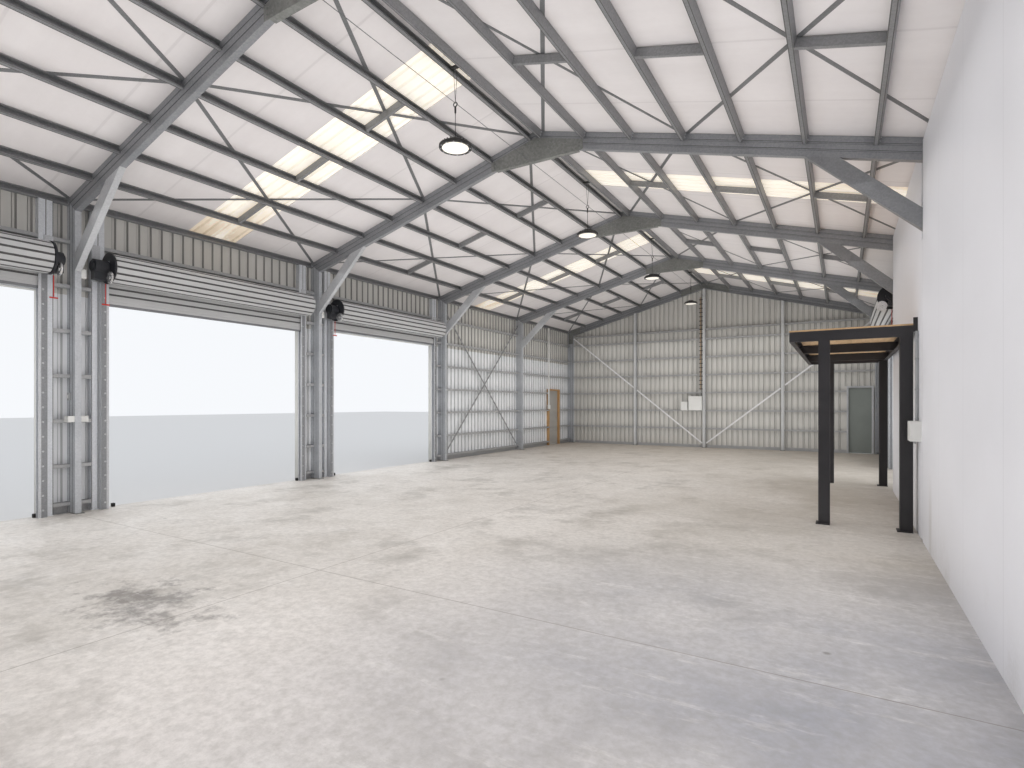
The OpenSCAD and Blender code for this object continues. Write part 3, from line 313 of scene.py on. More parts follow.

# %% [markdown]
# Each finish is a darkest and a lightest tone, the crystals per metre, and how metallic and how
# rough the zinc is. The tones also carry painted light: the same zinc is given lighter tones on the
# columns, mullions and doorway jambs, which stand in daylight, and darker ones on the rafters,
# purlins, plates and straps under the roof.

# %% The galvanised finishes
on_frames = 55.0
on_purlins = 70.0
on_trim = 80.0
column_steel = galvanised(
    "galvanised_column_steel", (0.43, 0.45, 0.48), (0.64, 0.66, 0.69), on_frames, 0.35, 0.42)
rafter_steel = galvanised(
    "galvanised_rafter_steel", (0.235, 0.245, 0.26), (0.385, 0.395, 0.415), on_frames, 0.35, 0.42)
mullion_steel = galvanised(
    "galvanised_mullion_steel", (0.54, 0.55, 0.56), (0.76, 0.77, 0.78), on_frames, 0.3, 0.4)
purlin_steel = galvanised(
    "galvanised_purlin_steel", (0.22, 0.225, 0.23), (0.37, 0.375, 0.385), on_purlins, 0.4, 0.45)
jamb_steel = galvanised(
    "galvanised_jamb_steel", (0.61, 0.635, 0.675), (0.84, 0.865, 0.90), on_purlins, 0.3, 0.4)
girt_steel = galvanised(
    "galvanised_girt_steel", (0.36, 0.365, 0.37), (0.54, 0.545, 0.555), on_purlins, 0.35, 0.42)
brace_steel = galvanised(
    "galvanised_brace_steel", (0.46, 0.475, 0.50), (0.68, 0.695, 0.72), on_frames, 0.35, 0.38,
    painted_shade_on_right=((0.22, 0.228, 0.24), (0.34, 0.348, 0.36)))
plate_steel = galvanised(
    "galvanised_plate_steel", (0.155, 0.16, 0.155), (0.37, 0.378, 0.362), 40.0, 0.35, 0.5)
bright_steel = galvanised(
    "bright_galvanised_trim", (0.46, 0.475, 0.50), (0.70, 0.715, 0.74), on_trim, 0.35, 0.35)
# Painted shade: a darker tone of the same zinc for the pressed-in guide faces beside their bright
# lips.
guide_shade_steel = galvanised(
    "galvanised_guide_face_shade", (0.22, 0.23, 0.245), (0.36, 0.37, 0.385), on_trim, 0.4, 0.4)
strap_steel = galvanised(
    "galvanised_straps", (0.18, 0.185, 0.19), (0.30, 0.305, 0.315), on_trim, 0.45, 0.5)
wall_strap_steel = galvanised(
    "galvanised_wall_straps", (0.24, 0.245, 0.25), (0.36, 0.365, 0.37), on_trim, 0.3, 0.45,
    on_gables=(0.86, 0.86, 0.87))
polished_steel = galvanised(
    "polished_chain_wheel", (0.80, 0.80, 0.80), (0.92, 0.92, 0.92), 90.0, 0.85, 0.12)
print("galvanised finishes:", len([m for m in bpy.data.materials if "galvanised" in m.name]))

# %% [markdown]
# A power floated slab is pale, nearly white in daylight. What makes it concrete is its layers.
# First come broad clouds, the mottling of the trowel, patches of stain and one ragged oil spot.

# %% Concrete: the slab and its stains
oil_spot = (-0.5, -5.45, floor_z)
oil_spot_squash = (1.0, 1.9, 1.0)
concrete, tree, shader, place = start_material("trowelled_concrete")
across, along, _ = parts(tree, place)
broad = weathered(tree, place, clouds=0.35, speckle=14.0, share=0.75)
mottle = weathered(tree, place, clouds=2.6, speckle=120.0, share=0.6)
slab = mix_colour(tree, broad["Tone"], (0.53, 0.50, 0.46), (0.80, 0.77, 0.735))
slab = mix_colour(tree, ramp(tree, mottle["Tone"], 0.2, 0.8, 0.0, 0.55), slab, (0.84, 0.81, 0.775))
patches = noise(tree, place, 1.1, 6.0, 0.7, 0.1)
slab = mix_colour(tree, ramp(tree, patches, 0.52, 0.70, 0.0, 0.85), slab, (0.35, 0.33, 0.30))
off_spot = vector_node(tree, "SUBTRACT", place, oil_spot)
squashed = vector_node(tree, "MULTIPLY", off_spot, oil_spot_squash)
from_spot = add(tree, "ShaderNodeVectorMath", {0: squashed}, operation="LENGTH").outputs["Value"]
frayed = noise(tree, place, 4.5, 4.0, 0.75)
ragged = math_node(tree, "ADD", from_spot, times(tree, frayed, 3.2))
slab = mix_colour(tree, ramp(tree, ragged, 1.75, 2.3, 0.85, 0.0), slab, (0.17, 0.155, 0.145))
print("concrete:", len(tree.nodes), "nodes so far")

# %% [markdown]
# Then comes what use does to it, and some painted shade. Brown dust gathers towards the rear, and
# the front right is paler. Along the right wall the floor is darker, partly with wear and partly
# with painted shadow: bluish by the front and brown farther in.

# %% Concrete: dust, paler front, wear and painted shadow
to_the_rear = ramp(tree, along, half_long / 4, half_long, 0.0, 0.8)
dust = times(tree, to_the_rear, ramp(tree, broad["Clouds"], 0.1, 0.9, 0.5, 1.0))
slab = mix_colour(tree, dust, slab, (0.44, 0.355, 0.26))
# The floor is made paler towards the front right.
paler_front_right = times(tree, ramp(tree, along, -5.5, -2.5, 0.45, 0.0),
                  ramp(tree, across, -0.5, 1.5, 0.05, 1.0))
slab = mix_colour(tree, paler_front_right, slab, (0.90, 0.86, 0.845))
# Painted shadow mixed with wear: darker along the right wall, bluish by the front and brown farther
# in.
shadow_and_wear_right = times(tree, ramp(tree, across, 0.8, 4.0), ramp(tree, along, -6.5, -4.6, 0.4, 0.92))
in_patches = times(tree, shadow_and_wear_right, ramp(tree, broad["Tone"], 0.25, 0.75, 1.0, 0.45))
shade = mix_colour(tree, ramp(tree, along, -3.2, -1.2), (0.29, 0.31, 0.375), (0.38, 0.345, 0.295))
slab = mix_colour(tree, in_patches, slab, shade)
print("concrete:", len(tree.nodes), "nodes so far")

# %% [markdown]
# Last come the small marks: drips, pale scuffs, fine grit, and hairline saw cuts on the frame
# lines. The gloss follows the mottling, because the tightly trowelled parts shine and the worn
# ones don't.

# %% Concrete: drips, scuffs, grit and saw cuts
saw_cut_width = 0.006
scatter = add(tree, "ShaderNodeTexVoronoi", {"Vector": place, "Scale": 1.7}).outputs
chance = add(tree, "ShaderNodeSeparateColor", {"Color": scatter["Color"]}).outputs[0]
drips = times(tree, ramp(tree, scatter["Distance"], 0.02, 0.05, 0.75, 0.0),
              ramp(tree, chance, 0.6, 0.7))
slab = mix_colour(tree, drips, slab, (0.20, 0.19, 0.18))
scuff_noise = noise(tree, vector_node(tree, "MULTIPLY", place, (0.5, 2.2, 1.0)), 3.2, 5.0, 0.78)
slab = mix_colour(tree, ramp(tree, scuff_noise, 0.55, 0.72, 0.0, 0.55), slab, (0.84, 0.82, 0.80))
grit = noise(tree, place, 14.0, 4.0, 0.8)
slab = mix_colour(tree, ramp(tree, grit, 0.35, 0.62, 0.4, 0.0), slab, (0.38, 0.36, 0.33))
saw_cuts = math_node(tree, "MAXIMUM", joint_lines(tree, along, bay, 0.0, saw_cut_width),
                     joint_lines(tree, across, half_span, 0.0, saw_cut_width))
slab = mix_colour(tree, times(tree, saw_cuts, 0.7), slab, (0.24, 0.21, 0.18))
relief = math_node(tree, "SUBTRACT", mottle["Speckle"], times(tree, saw_cuts, 3.0))
surface(tree, shader, slab, ramp(tree, mottle["Tone"], 0.2, 0.8, 0.62, 0.42),
        bump(tree, relief, 0.0015, 0.3))
print("concrete:", len(tree.nodes), "nodes")

# %% [markdown]
# The wall and roof sheets are coated steel. The folds are real geometry, and the finish adds
# what rain and dust do: faint streaks down the sheet, and a slightly chalky gloss. Painted shade
# darkens the slanted sides of the ribs. The lower sheets of the side walls are paler and bluer on
# the faces that look into the hall.

# %% Material: coated sheets
def coated_sheet(name, dark, light, stretch, rough=0.42, folds=0.0, inner_face_tones=None):
    material, tree, shader, place = start_material(name)
    streaks = weathered(tree, place, stretch=stretch, clouds=2.2, speckle=90.0)
    coat = mix_colour(tree, streaks["Tone"], dark, light)
    # The faces of the lower sheets that look into the hall take the paler, bluer inner_face_tones.
    if inner_face_tones:
        outward = times(tree, parts(tree, place)["X"], parts(tree)["X"])
        inner = mix_colour(tree, streaks["Tone"], *inner_face_tones)
        coat = mix_colour(tree, ramp(tree, outward, -0.3, 0.3, 1.0, 0.0), coat, inner)
    surface(tree, shader, fold_shade(tree, coat, (0.10, 0.098, 0.094), folds),
            ramp(tree, streaks["Clouds"], 0, 1, rough + 0.12, rough),
            bump(tree, streaks["Speckle"], 0.0006, 0.25))
    return material


down_the_wall = (1.5, 1.5, 0.12)
down_the_roof = (0.15, 1.5, 0.15)
along_the_laths = (1.5, 0.1, 1.5)
wall_tones = ((0.54, 0.53, 0.50), (0.665, 0.655, 0.625))
wall_coating = coated_sheet("coated_wall_sheet", *wall_tones, down_the_wall, folds=0.6)
gable_coating = coated_sheet("coated_gable_sheet", *wall_tones, down_the_wall, folds=0.4)
low_coating = coated_sheet(
    "coated_lower_sheet", *wall_tones, down_the_wall, folds=0.45,
    inner_face_tones=((0.74, 0.755, 0.775), (0.86, 0.875, 0.895)))
roof_coating = coated_sheet(
    "coated_roof_sheet", (0.42, 0.42, 0.40), (0.53, 0.53, 0.505), down_the_roof)
shutter_coating = coated_sheet(
    "coated_shutter", (0.41, 0.412, 0.415), (0.52, 0.522, 0.525), along_the_laths, rough=0.38)
trim_coating = coated_sheet(
    "coated_flashing", (0.42, 0.42, 0.40), (0.52, 0.52, 0.50), down_the_wall, rough=0.38)
print("coated sheets:", wall_coating.name, roof_coating.name, shutter_coating.name)

# %% [markdown]
# Under the roof sheets lies a white faced insulation blanket, rolled out from eave to ridge.
# It shows a faint seam at each roll's edge and a soft unevenness where it rests on the purlins.

# %% Material: roof lining
roll_width = 1.2
lining, tree, shader, place = start_material("white_foil_lining", Roughness=0.55)
folds = weathered(tree, place, stretch=(0.3, 2.0, 0.3), clouds=1.1, speckle=9.0, share=0.6)
roll_seams = joint_lines(tree, parts(tree, place)["Y"], roll_width, 0.3, 0.02)
soft_white = mix_colour(tree, folds["Tone"], (0.735, 0.70, 0.70), (0.83, 0.80, 0.80))
seamed = mix_colour(tree, times(tree, roll_seams, 0.3), soft_white, (0.55, 0.52, 0.52))
relief = math_node(tree, "ADD", folds["Tone"], roll_seams)
surface(tree, shader, seamed, normal=bump(tree, relief, 0.006, 0.3))
print("lining seams every", roll_width, "m")

# %% [markdown]
# The skylights are glass fibre sheets. Seen from below they glow warm white with painted daylight,
# brighter than the lining beside them, with cloudy fibres in them and dirt that gathers towards
# the eave. The painted glow is an emission on the faces that look down only, so that from outside
# the sheet is a plain milky panel. That test reads the surface's own direction and never the
# camera.

# %% Material: skylight
skylight, tree, shader, place = start_material("fibre_skylight", Roughness=0.5)
fibres = weathered(tree, place, clouds=6.0, speckle=160.0, share=0.5)
grime = weathered(tree, place, stretch=(0.35, 1.6, 0.35), clouds=1.4, speckle=22.0, share=0.75)
towards_eave = ramp(tree, math_node(tree, "ABSOLUTE", parts(tree, place)["X"]), 3.6, 5.2)
dirt = times(tree, math_node(tree, "ADD", 0.18, times(tree, towards_eave, 0.9)),
             ramp(tree, grime["Tone"], 0.35, 0.7, 0.1, 1.0))
milky = mix_colour(tree, fibres["Tone"], (0.80, 0.77, 0.70), (0.90, 0.88, 0.83))
surface(tree, shader, mix_colour(tree, dirt, milky, (0.66, 0.57, 0.46)))
looks_down = ramp(tree, parts(tree)["Z"], -0.6, -0.4, 1.0, 0.0)
painted_daylight_glow = mix_colour(tree, dirt, (0.45, 0.41, 0.355), (0.28, 0.23, 0.17))
put(tree, shader.inputs["Emission Color"], mix_colour(tree, looks_down, (0, 0, 0), painted_daylight_glow))
put(tree, shader.inputs["Emission Strength"], 1.0)
print("skylight:", len(tree.nodes), "nodes")

# %% [markdown]
# The right wall is lined with white insulated panels. They are smooth, so only their upright
# joints, a faint waviness of the thin skin, a little scuffing near the floor and one darker upright
# mark in front of the platform show.

# %% Material: white panels
panel_width = 1.2
dark_mark_y = -0.62
white_panel, tree, shader, place = start_material("white_insulated_panel")
_, along, up = parts(tree, place)
skin = weathered(tree, place, clouds=0.9, speckle=45.0)
joints = joint_lines(tree, along, panel_width, 0.0, 0.008)
low_scuffs = times(tree, ramp(tree, up, floor_z, floor_z + 0.5, 1.0, 0.0),
                   ramp(tree, skin["Tone"], 0.45, 0.7))
# A darker upright mark low on the wall in front of the platform.
from_dark_mark = math_node(tree, "ABSOLUTE", math_node(tree, "SUBTRACT", along, dark_mark_y))
dark_mark = times(tree, ramp(tree, from_dark_mark, 0.04, 0.15, 1.0, 0.0),
            ramp(tree, up, floor_z + 0.35, floor_z + 0.85, 1.0, 0.0))
scuffs_and_dark_mark = times(tree, math_node(tree, "MAXIMUM", low_scuffs, dark_mark), 0.45)
clean = mix_colour(tree, skin["Tone"], (0.74, 0.74, 0.775), (0.80, 0.80, 0.835))
marked_white = mix_colour(tree, scuffs_and_dark_mark, clean, (0.45, 0.43, 0.40))
jointed = mix_colour(tree, times(tree, joints, 0.22), marked_white, (0.35, 0.35, 0.37))
relief = math_node(tree, "SUBTRACT", times(tree, skin["Clouds"], 0.3), times(tree, joints, 0.4))
surface(tree, shader, jointed, ramp(tree, skin["Clouds"], 0, 1, 0.38, 0.5),
        bump(tree, relief, 0.003, 0.4))
print("panels", panel_width, "m wide")

# %% [markdown]
# The platform is painted nearly black and scuffed along its edges. Its deck is plywood: a
# grained face, and an edge of thin alternating layers that runs round the sheet.

# %% Materials: black paint and plywood
def satin_paint(name, dark, light, rough):
    material, tree, shader, place = start_material(name)
    wear = weathered(tree, place, clouds=3.0, speckle=110.0, share=0.5)
    surface(tree, shader, mix_colour(tree, wear["Tone"], dark, light),
            ramp(tree, wear["Clouds"], 0, 1, rough, rough + 0.15),
            bump(tree, wear["Speckle"], 0.0005, 0.2))
    return material


def wood(name, dark, light, grain_axis, layers=None):
    """Grain pulled out along one axis; layers adds the stripes of a plywood edge up the z axis."""
    material, tree, shader, place = start_material(name, Roughness=0.6)
    stretch = [9.0, 9.0, 9.0]
    stretch[grain_axis] = 0.7
    grain = weathered(tree, place, stretch=stretch, clouds=2.0, speckle=70.0, share=0.8)
    colour = mix_colour(tree, grain["Tone"], dark, light)
    if layers:
        on_edge = ramp(tree, math_node(tree, "ABSOLUTE", parts(tree)["Z"]), 0.2, 0.4, 1.0, 0.0)
        stripes = joint_lines(tree, parts(tree, place)["Z"], 2 * layers, 0.0, layers)
        striped = mix_colour(tree, times(tree, stripes, on_edge), colour, dark)
        colour = mix_colour(tree, 0.85, colour, striped)
    surface(tree, shader, colour, normal=bump(tree, grain["Tone"], 0.001, 0.3))
    return material


y_axis, z_axis = 1, 2
black_paint = satin_paint("black_painted_steel", (0.013, 0.0125, 0.0145), (0.035, 0.033, 0.036),
                          0.45)
plywood = wood("plywood_deck", (0.42, 0.27, 0.14), (0.66, 0.47, 0.29), y_axis, layers=0.0035)
jamb_timber = wood("varnished_jamb_timber", (0.36, 0.20, 0.085), (0.58, 0.37, 0.18), z_axis)
leaf_timber = satin_paint("painted_timber_leaf", (0.33, 0.32, 0.30), (0.40, 0.385, 0.36), 0.45)
leaf_green = satin_paint("grey_green_door_paint", (0.215, 0.24, 0.225), (0.26, 0.285, 0.27), 0.4)
cable_sheath = satin_paint("tan_cable_sheath", (0.36, 0.25, 0.15), (0.48, 0.35, 0.22), 0.5)
print("painted and timber finishes made")

# %% [markdown]
# The small fittings share the satin paint recipe. Only the lamp's lens is different, because it
# shines a little by itself.

# %% Materials: fittings
motor_black = satin_paint("moulded_motor_black", (0.012, 0.013, 0.016), (0.03, 0.032, 0.038), 0.38)
lamp_black = satin_paint("cast_lamp_housing", (0.02, 0.02, 0.02), (0.05, 0.05, 0.05), 0.42)
switch_white = satin_paint("switch_box_white", (0.68, 0.68, 0.66), (0.78, 0.78, 0.76), 0.3)
grip_red = satin_paint("red_release_grip", (0.42, 0.018, 0.012), (0.58, 0.03, 0.02), 0.35)
rubber = satin_paint("black_rubber", (0.012, 0.012, 0.012), (0.035, 0.034, 0.033), 0.7)
# This dark grey is painted shade in the lath grooves, along the purlin edges and at the jamb edges;
# the jamb seams and cable clips are dark in themselves.
seam_and_shade_grey = satin_paint("dark_seam_and_painted_shade", (0.07, 0.07, 0.07), (0.13, 0.13, 0.13), 0.6)
rail_grey = satin_paint("dark_bottom_rail", (0.15, 0.155, 0.165), (0.21, 0.215, 0.225), 0.4)
conduit_grey = satin_paint("grey_conduit", (0.30, 0.31, 0.32), (0.38, 0.39, 0.40), 0.4)
lens_white, tree, shader, place = start_material("lamp_lens", Roughness=0.25)
wear = weathered(tree, place, clouds=12.0, speckle=140.0, share=0.4)
surface(tree, shader, mix_colour(tree, wear["Tone"], (0.80, 0.78, 0.72), (0.92, 0.90, 0.86)))
put(tree, shader.inputs["Emission Color"], (1.0, 0.93, 0.82))
put(tree, shader.inputs["Emission Strength"], 0.45)
print("fittings:", motor_black.name, switch_white.name, grip_red.name, lens_white.name)

# %% [markdown]
# Each CAD node now gets its finish. The node keeps its own mesh; only the material in its slot
# changes.

# %% Dress the CAD nodes
finishes = {
    concrete: ["floor_slab"],
    column_steel: ["columns"],
    rafter_steel: ["left_rafters", "right_rafters"],
    mullion_steel: ["gable_mullions"],
    brace_steel: ["knee_braces"],
    purlin_steel: ["roof_purlins", "roof_bridging"],
    girt_steel: ["side_wall_girts", "gable_girts"],
    jamb_steel: ["doorway_framing"],
    plate_steel: ["apex_plates", "haunch_plates", "column_base_plates"],
    strap_steel: ["roof_bracing", "lamp_wire"],
    wall_strap_steel: ["wall_bracing"],
    bright_steel: ["roller_door_guides", "roller_door_brackets", "rear_door_frame", "cable_ladder"],
    roof_coating: ["roof_sheets", "ridge_cap", "gutters", "downpipes"],
    trim_coating: ["flashings"],
    wall_coating: ["side_wall_upper_sheets"],
    gable_coating: ["rear_wall_lower_sheets", "gable_sheets"],
    low_coating: ["side_wall_lower_sheets", "side_door_over_sheet"],
    shutter_coating: ["roller_door_curtains"],
    lining: ["roof_lining"],
    skylight: ["skylight_sheets"],
    white_panel: ["white_wall"],
    black_paint: ["platform_posts", "platform_beams"],
    plywood: ["platform_deck"],
    jamb_timber: ["side_door_frame"],
    leaf_timber: ["side_door_leaf"],
    leaf_green: ["rear_door_leaf"],
    motor_black: ["roller_door_motors"],
    lamp_black: ["high_bay_lamps"],
    switch_white: ["switchboard", "wall_fittings"],
}
dressed = 0
for material, names in finishes.items():
    for name in names:
        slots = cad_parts[name].data.materials
        slots.clear()
        slots.append(material)
        dressed += 1
print("dressed", dressed, "of", len(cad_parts), "nodes")

# %% [markdown]
# Steelwork is held by bolts: a hexagon head on a washer. One helper adds such a bolt to a
# bmesh with its face on a plate, and the last turns a filled bmesh into a piece that rides on
# the building. A whole family of bolts is one object.

# %% Helpers for small pieces
def turned_to(direction):
    """A rotation that carries the z axis onto a direction."""
    return Vector(direction).normalized().to_track_quat("Z", "Y").to_matrix().to_4x4()


def add_cone(mesh, segments, radius, top_radius, depth, matrix):
    bmesh.ops.create_cone(mesh, cap_ends=True, segments=segments, radius1=radius,
                          radius2=top_radius, depth=depth, matrix=matrix)


def add_bolt(mesh, place, direction, head=0.024):
    """A hexagon head on a round washer, standing on place and pointing along direction."""
    seat = Matrix.Translation(place) @ turned_to(direction)
    washer = 0.12 * head
    washer_place = seat @ Matrix.Translation((0, 0, washer / 2))
    head_place = seat @ Matrix.Translation((0, 0, washer + 0.275 * head))
    add_cone(mesh, 10, 0.85 * head, 0.85 * head, washer, washer_place)
    add_cone(mesh, 6, 0.58 * head, 0.54 * head, 0.55 * head, head_place)


def add_block(mesh, size, matrix):
    """A block of the size given, placed by a matrix; gives its corners back."""
    sized = matrix @ Matrix.Diagonal((*size, 1))
    return bmesh.ops.create_cube(mesh, size=1.0, matrix=sized)["verts"]


def add_box(mesh, low, high, bevel=0.0):
    """A box between two corners, with its edges softened where bevel is given."""
    low, high = Vector(low), Vector(high)
    made = add_block(mesh, high - low, Matrix.Translation((low + high) / 2))
    if bevel:
        edges = list(dict.fromkeys(edge for vert in made for edge in vert.link_edges))
        bmesh.ops.bevel(mesh, geom=edges, offset=bevel, affect="EDGES", segments=2,
                        profile=0.5, material=-1)


def add_rod(mesh, start, end, radius, segments=12):
    """A round rod from start to end."""
    start, end = Vector(start), Vector(end)
    middle = Matrix.Translation((start + end) / 2) @ turned_to(end - start)
    add_cone(mesh, segments, radius, radius, (end - start).length, middle)


def finish_piece(mesh, name, material, body="building"):
    """Turns a filled bmesh into a piece that rides on a body, with its material."""
    data = bpy.data.meshes.new(name)
    mesh.to_mesh(data)
    mesh.free()
    piece = bpy.data.objects.new(name, data)
    piece.data.materials.append(material)
    bpy.context.scene.collection.objects.link(piece)
    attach(piece, body)
    print(name, len(data.polygons), "faces")


print("helpers for small pieces ready")

# %% [markdown]
# Each frame has plates inside its open section, and the inner frames have a second one over the
# smooth backs of their webs at the ridge, which is the one the photograph shows. Bolt heads
# stand on all of them in two rows that follow the rafters. The last frame is turned to face
# inwards, so its bolts point the other way.

# %% Bolts of the apex and haunch plates
open_sides = [(y, 1.0) for y in frame_ys[:-1]] + [(frame_ys[-1], -1.0)]
plate_face = 0.018
near_plate_face = 0.008
apex_reaches = (0.12, 0.30, 0.48, 0.66)
haunch_reaches = (0.30, 0.44)
rafter_rows = (0.30, 0.70)
column_drops = (0.33, 0.45)
near_plate_spots = ((0.28, 0.62), (0.76, 0.62), (0.76, 0.88))


def rafter_height(x, below):
    """The height at x, a share of the rafter's own depth below its top."""
    return ridge_z - x * math.tan(roof_pitch) - below * column_depth / math.cos(roof_pitch)


bolts = bmesh.new()
for frame_y, facing_y in open_sides:
    y = frame_y + facing_y * plate_face
    for side in (1, -1):
        for x in (*apex_reaches, *(half_span - reach for reach in haunch_reaches)):
            for below in rafter_rows:
                add_bolt(bolts, (side * x, y, rafter_height(x, below)), (0, facing_y, 0))
        for drop in column_drops:
            for share in rafter_rows:
                x = half_span - share * column_depth
                add_bolt(bolts, (side * x, y, eave_z - drop), (0, facing_y, 0))
for frame_y in frame_ys[1:-1]:
    for side in (1, -1):
        for x, below in near_plate_spots:
            place = (side * x, frame_y - near_plate_face, rafter_height(x, below))
            add_bolt(bolts, place, (0, -1, 0))
finish_piece(bolts, "plate_bolts", plate_steel)

# %% [markdown]
# At the foot, each base plate is held by two anchor bolts inside the open section.

# %% Anchor bolts
base_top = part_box("column_base_plates")[1].z
anchor_in = 0.045
anchor_radius = 0.008
anchor_height = 0.05
anchors = bmesh.new()
for frame_y, facing_y in open_sides:
    for side in (1, -1):
        for share in rafter_rows:
            foot = Vector((side * (inner_x + share * column_depth),
                           frame_y + facing_y * anchor_in, base_top))
            add_bolt(anchors, foot, (0, 0, 1), head=0.03)
            add_rod(anchors, foot, foot + Vector((0, 0, anchor_height)), anchor_radius)
finish_piece(anchors, "anchor_bolts", bright_steel)

# %% [markdown]
# The roller doors' guides are bolted through their faces every fifth of a metre, which reads as
# a row of dots from across the hall. The heads stand on the face turned to the hall.

# %% Guide bolts
guide_low, guide_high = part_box("roller_door_guides")
guide_inner_x = girt_face_x - 0.08
guide_middle = 0.022
guide_bolt_step = 0.2
rows = bmesh.new()
for side, _, near in doorways:
    for y in (near - guide_middle, near + door_width + guide_middle):
        steps = int((guide_high.z - guide_low.z - guide_bolt_step) / guide_bolt_step)
        for i in range(steps + 1):
            z = guide_low.z + guide_bolt_step / 2 + i * guide_bolt_step
            add_bolt(rows, (side * guide_inner_x, y, z), (-side, 0, 0), head=0.016)
finish_piece(rows, "guide_bolts", bright_steel)

# %% [markdown]
# Each jamb is boxed from two studs, which leaves a seam down the middle of its face, and a dark
# skin of painted shadow runs down its edge. A guide's face is pressed in beside its bright lip, and
# a band of painted shade lies on it.

# %% Jamb seams, painted edge shadows and painted shade on the guide faces
stud_width = 0.082
jamb_top = eave_z - 0.0969
skin_half = 0.0006
jamb_seam_and_shadow_reach = ((0.077, 0.086), (2 * stud_width - 0.008, 2 * stud_width - 0.0005))
guide_shade_reach = (0.004, 0.0715)


def add_band(mesh, x, edge, out, reach, low_z, high_z):
    """A thin upright skin on the plane at x, from reach[0] to reach[1] outwards of an edge."""
    low_y, high_y = sorted((edge + out * reach[0], edge + out * reach[1]))
    add_box(mesh, (x - skin_half, low_y, low_z), (x + skin_half, high_y, high_z))


jamb_seam_and_shadow_skins = bmesh.new()
guide_shade_skins = bmesh.new()
for side, _, near in doorways:
    for edge, out in ((near, -1), (near + door_width, 1)):
        for reach in jamb_seam_and_shadow_reach:
            add_band(jamb_seam_and_shadow_skins, side * girt_face_x, edge, out, reach, floor_z + 0.01, jamb_top)
        add_band(guide_shade_skins, side * guide_inner_x, edge, out, guide_shade_reach,
                 guide_low.z + 0.002, guide_high.z - 0.002)
finish_piece(jamb_seam_and_shadow_skins, "jamb_seams_and_edge_shadows", seam_and_shade_grey)
finish_piece(guide_shade_skins, "guide_face_shade", guide_shade_steel)

# %% [markdown]
# Beside each motor's control box turns a bright chain wheel on a short arm, and the release pull
# is red with a red cross handle. The pull is in the frame as a thin black rod, and a red sleeve
# goes round it.

# %% Chain wheels and red pulls
roll_x = girt_face_x - 0.243
roll_z = floor_z + 3.51
end_gap = 0.064
pull_in = 0.02
box_half = 0.06
wheel_radius = 0.088
wheel_discs = ((wheel_radius, 0.012), (0.8 * wheel_radius, 0.02), (0.022, 0.034))
arm_half = Vector((0, 0.003, 0.012))
handle_half = 0.046
far_motor_bay = 1
wheels = bmesh.new()
pulls = bmesh.new()
for side, k, near in doorways:
    out = 1 if k == far_motor_bay else -1
    end = near + (door_width if out == 1 else 0.0) + out * end_gap
    hub_x = side * (roll_x - box_half - wheel_radius - 0.008)
    hub = Vector((hub_x, end + out * 0.03, roll_z - 0.16))
    for radius, depth in wheel_discs:
        add_cone(wheels, 32, radius, radius, depth, Matrix.Translation(hub) @ turned_to((0, 1, 0)))
    reach = sorted((hub_x, side * (roll_x - box_half)))
    arm_ends = [Vector((x, hub.y + out * 0.014, hub.z)) for x in reach]
    add_box(wheels, arm_ends[0] - arm_half, arm_ends[1] + arm_half)
    handle = Vector((side * roll_x, end + out * pull_in, roll_z - 0.53))
    add_rod(pulls, handle + Vector((0, 0, 0.02)), handle + Vector((0, 0, 0.30)), 0.0055)
    add_rod(pulls, handle - Vector((0, handle_half, 0)), handle + Vector((0, handle_half, 0)),
            0.0105, 16)
finish_piece(wheels, "chain_wheels", polished_steel)
finish_piece(pulls, "red_pulls", grip_red)

# %% [markdown]
# The laths of a roller curtain interlock, and every groove between two of them lies in shade.
# The grooves are in the frame, round the roll and down the hanging part, so a thin dark skin of
# painted shade goes into each one and up both of its sides.

# %% Skins for the grooves
lath_rise = 0.012
skin = 0.0012
groove = ((-0.075, 1.0), (0.0, 0.0), (0.14, 0.0), (0.215, 1.0))


def groove_skin(depth):
    """The outline of a skin in a groove: shares of a lath and distances from the groove's bed."""
    over = [(share, rise * depth + skin) for share, rise in groove]
    under = [(share, rise * depth - skin) for share, rise in groove[::-1]]
    return over + under


def add_prism(mesh, points, near, far):
    """A closed prism from near to far along y, over a profile of (x, z) points."""
    ends = [[mesh.verts.new((x, y, z)) for x, z in points] for y in (near, far)]
    for end, order in ((ends[0], 1), (ends[1], -1)):
        mesh.faces.new(end[::order])
    for i in range(len(points)):
        j = (i + 1) % len(points)
        mesh.faces.new((ends[0][j], ends[0][i], ends[1][i], ends[1][j]))


print("groove outline:", len(groove_skin(lath_rise)), "points")

# %% [markdown]
# The skins go round each roll by angle and down each hanging end by height. The second left
# curtain hangs lower than the others, as in the photograph. A dark rail closes each lower edge.

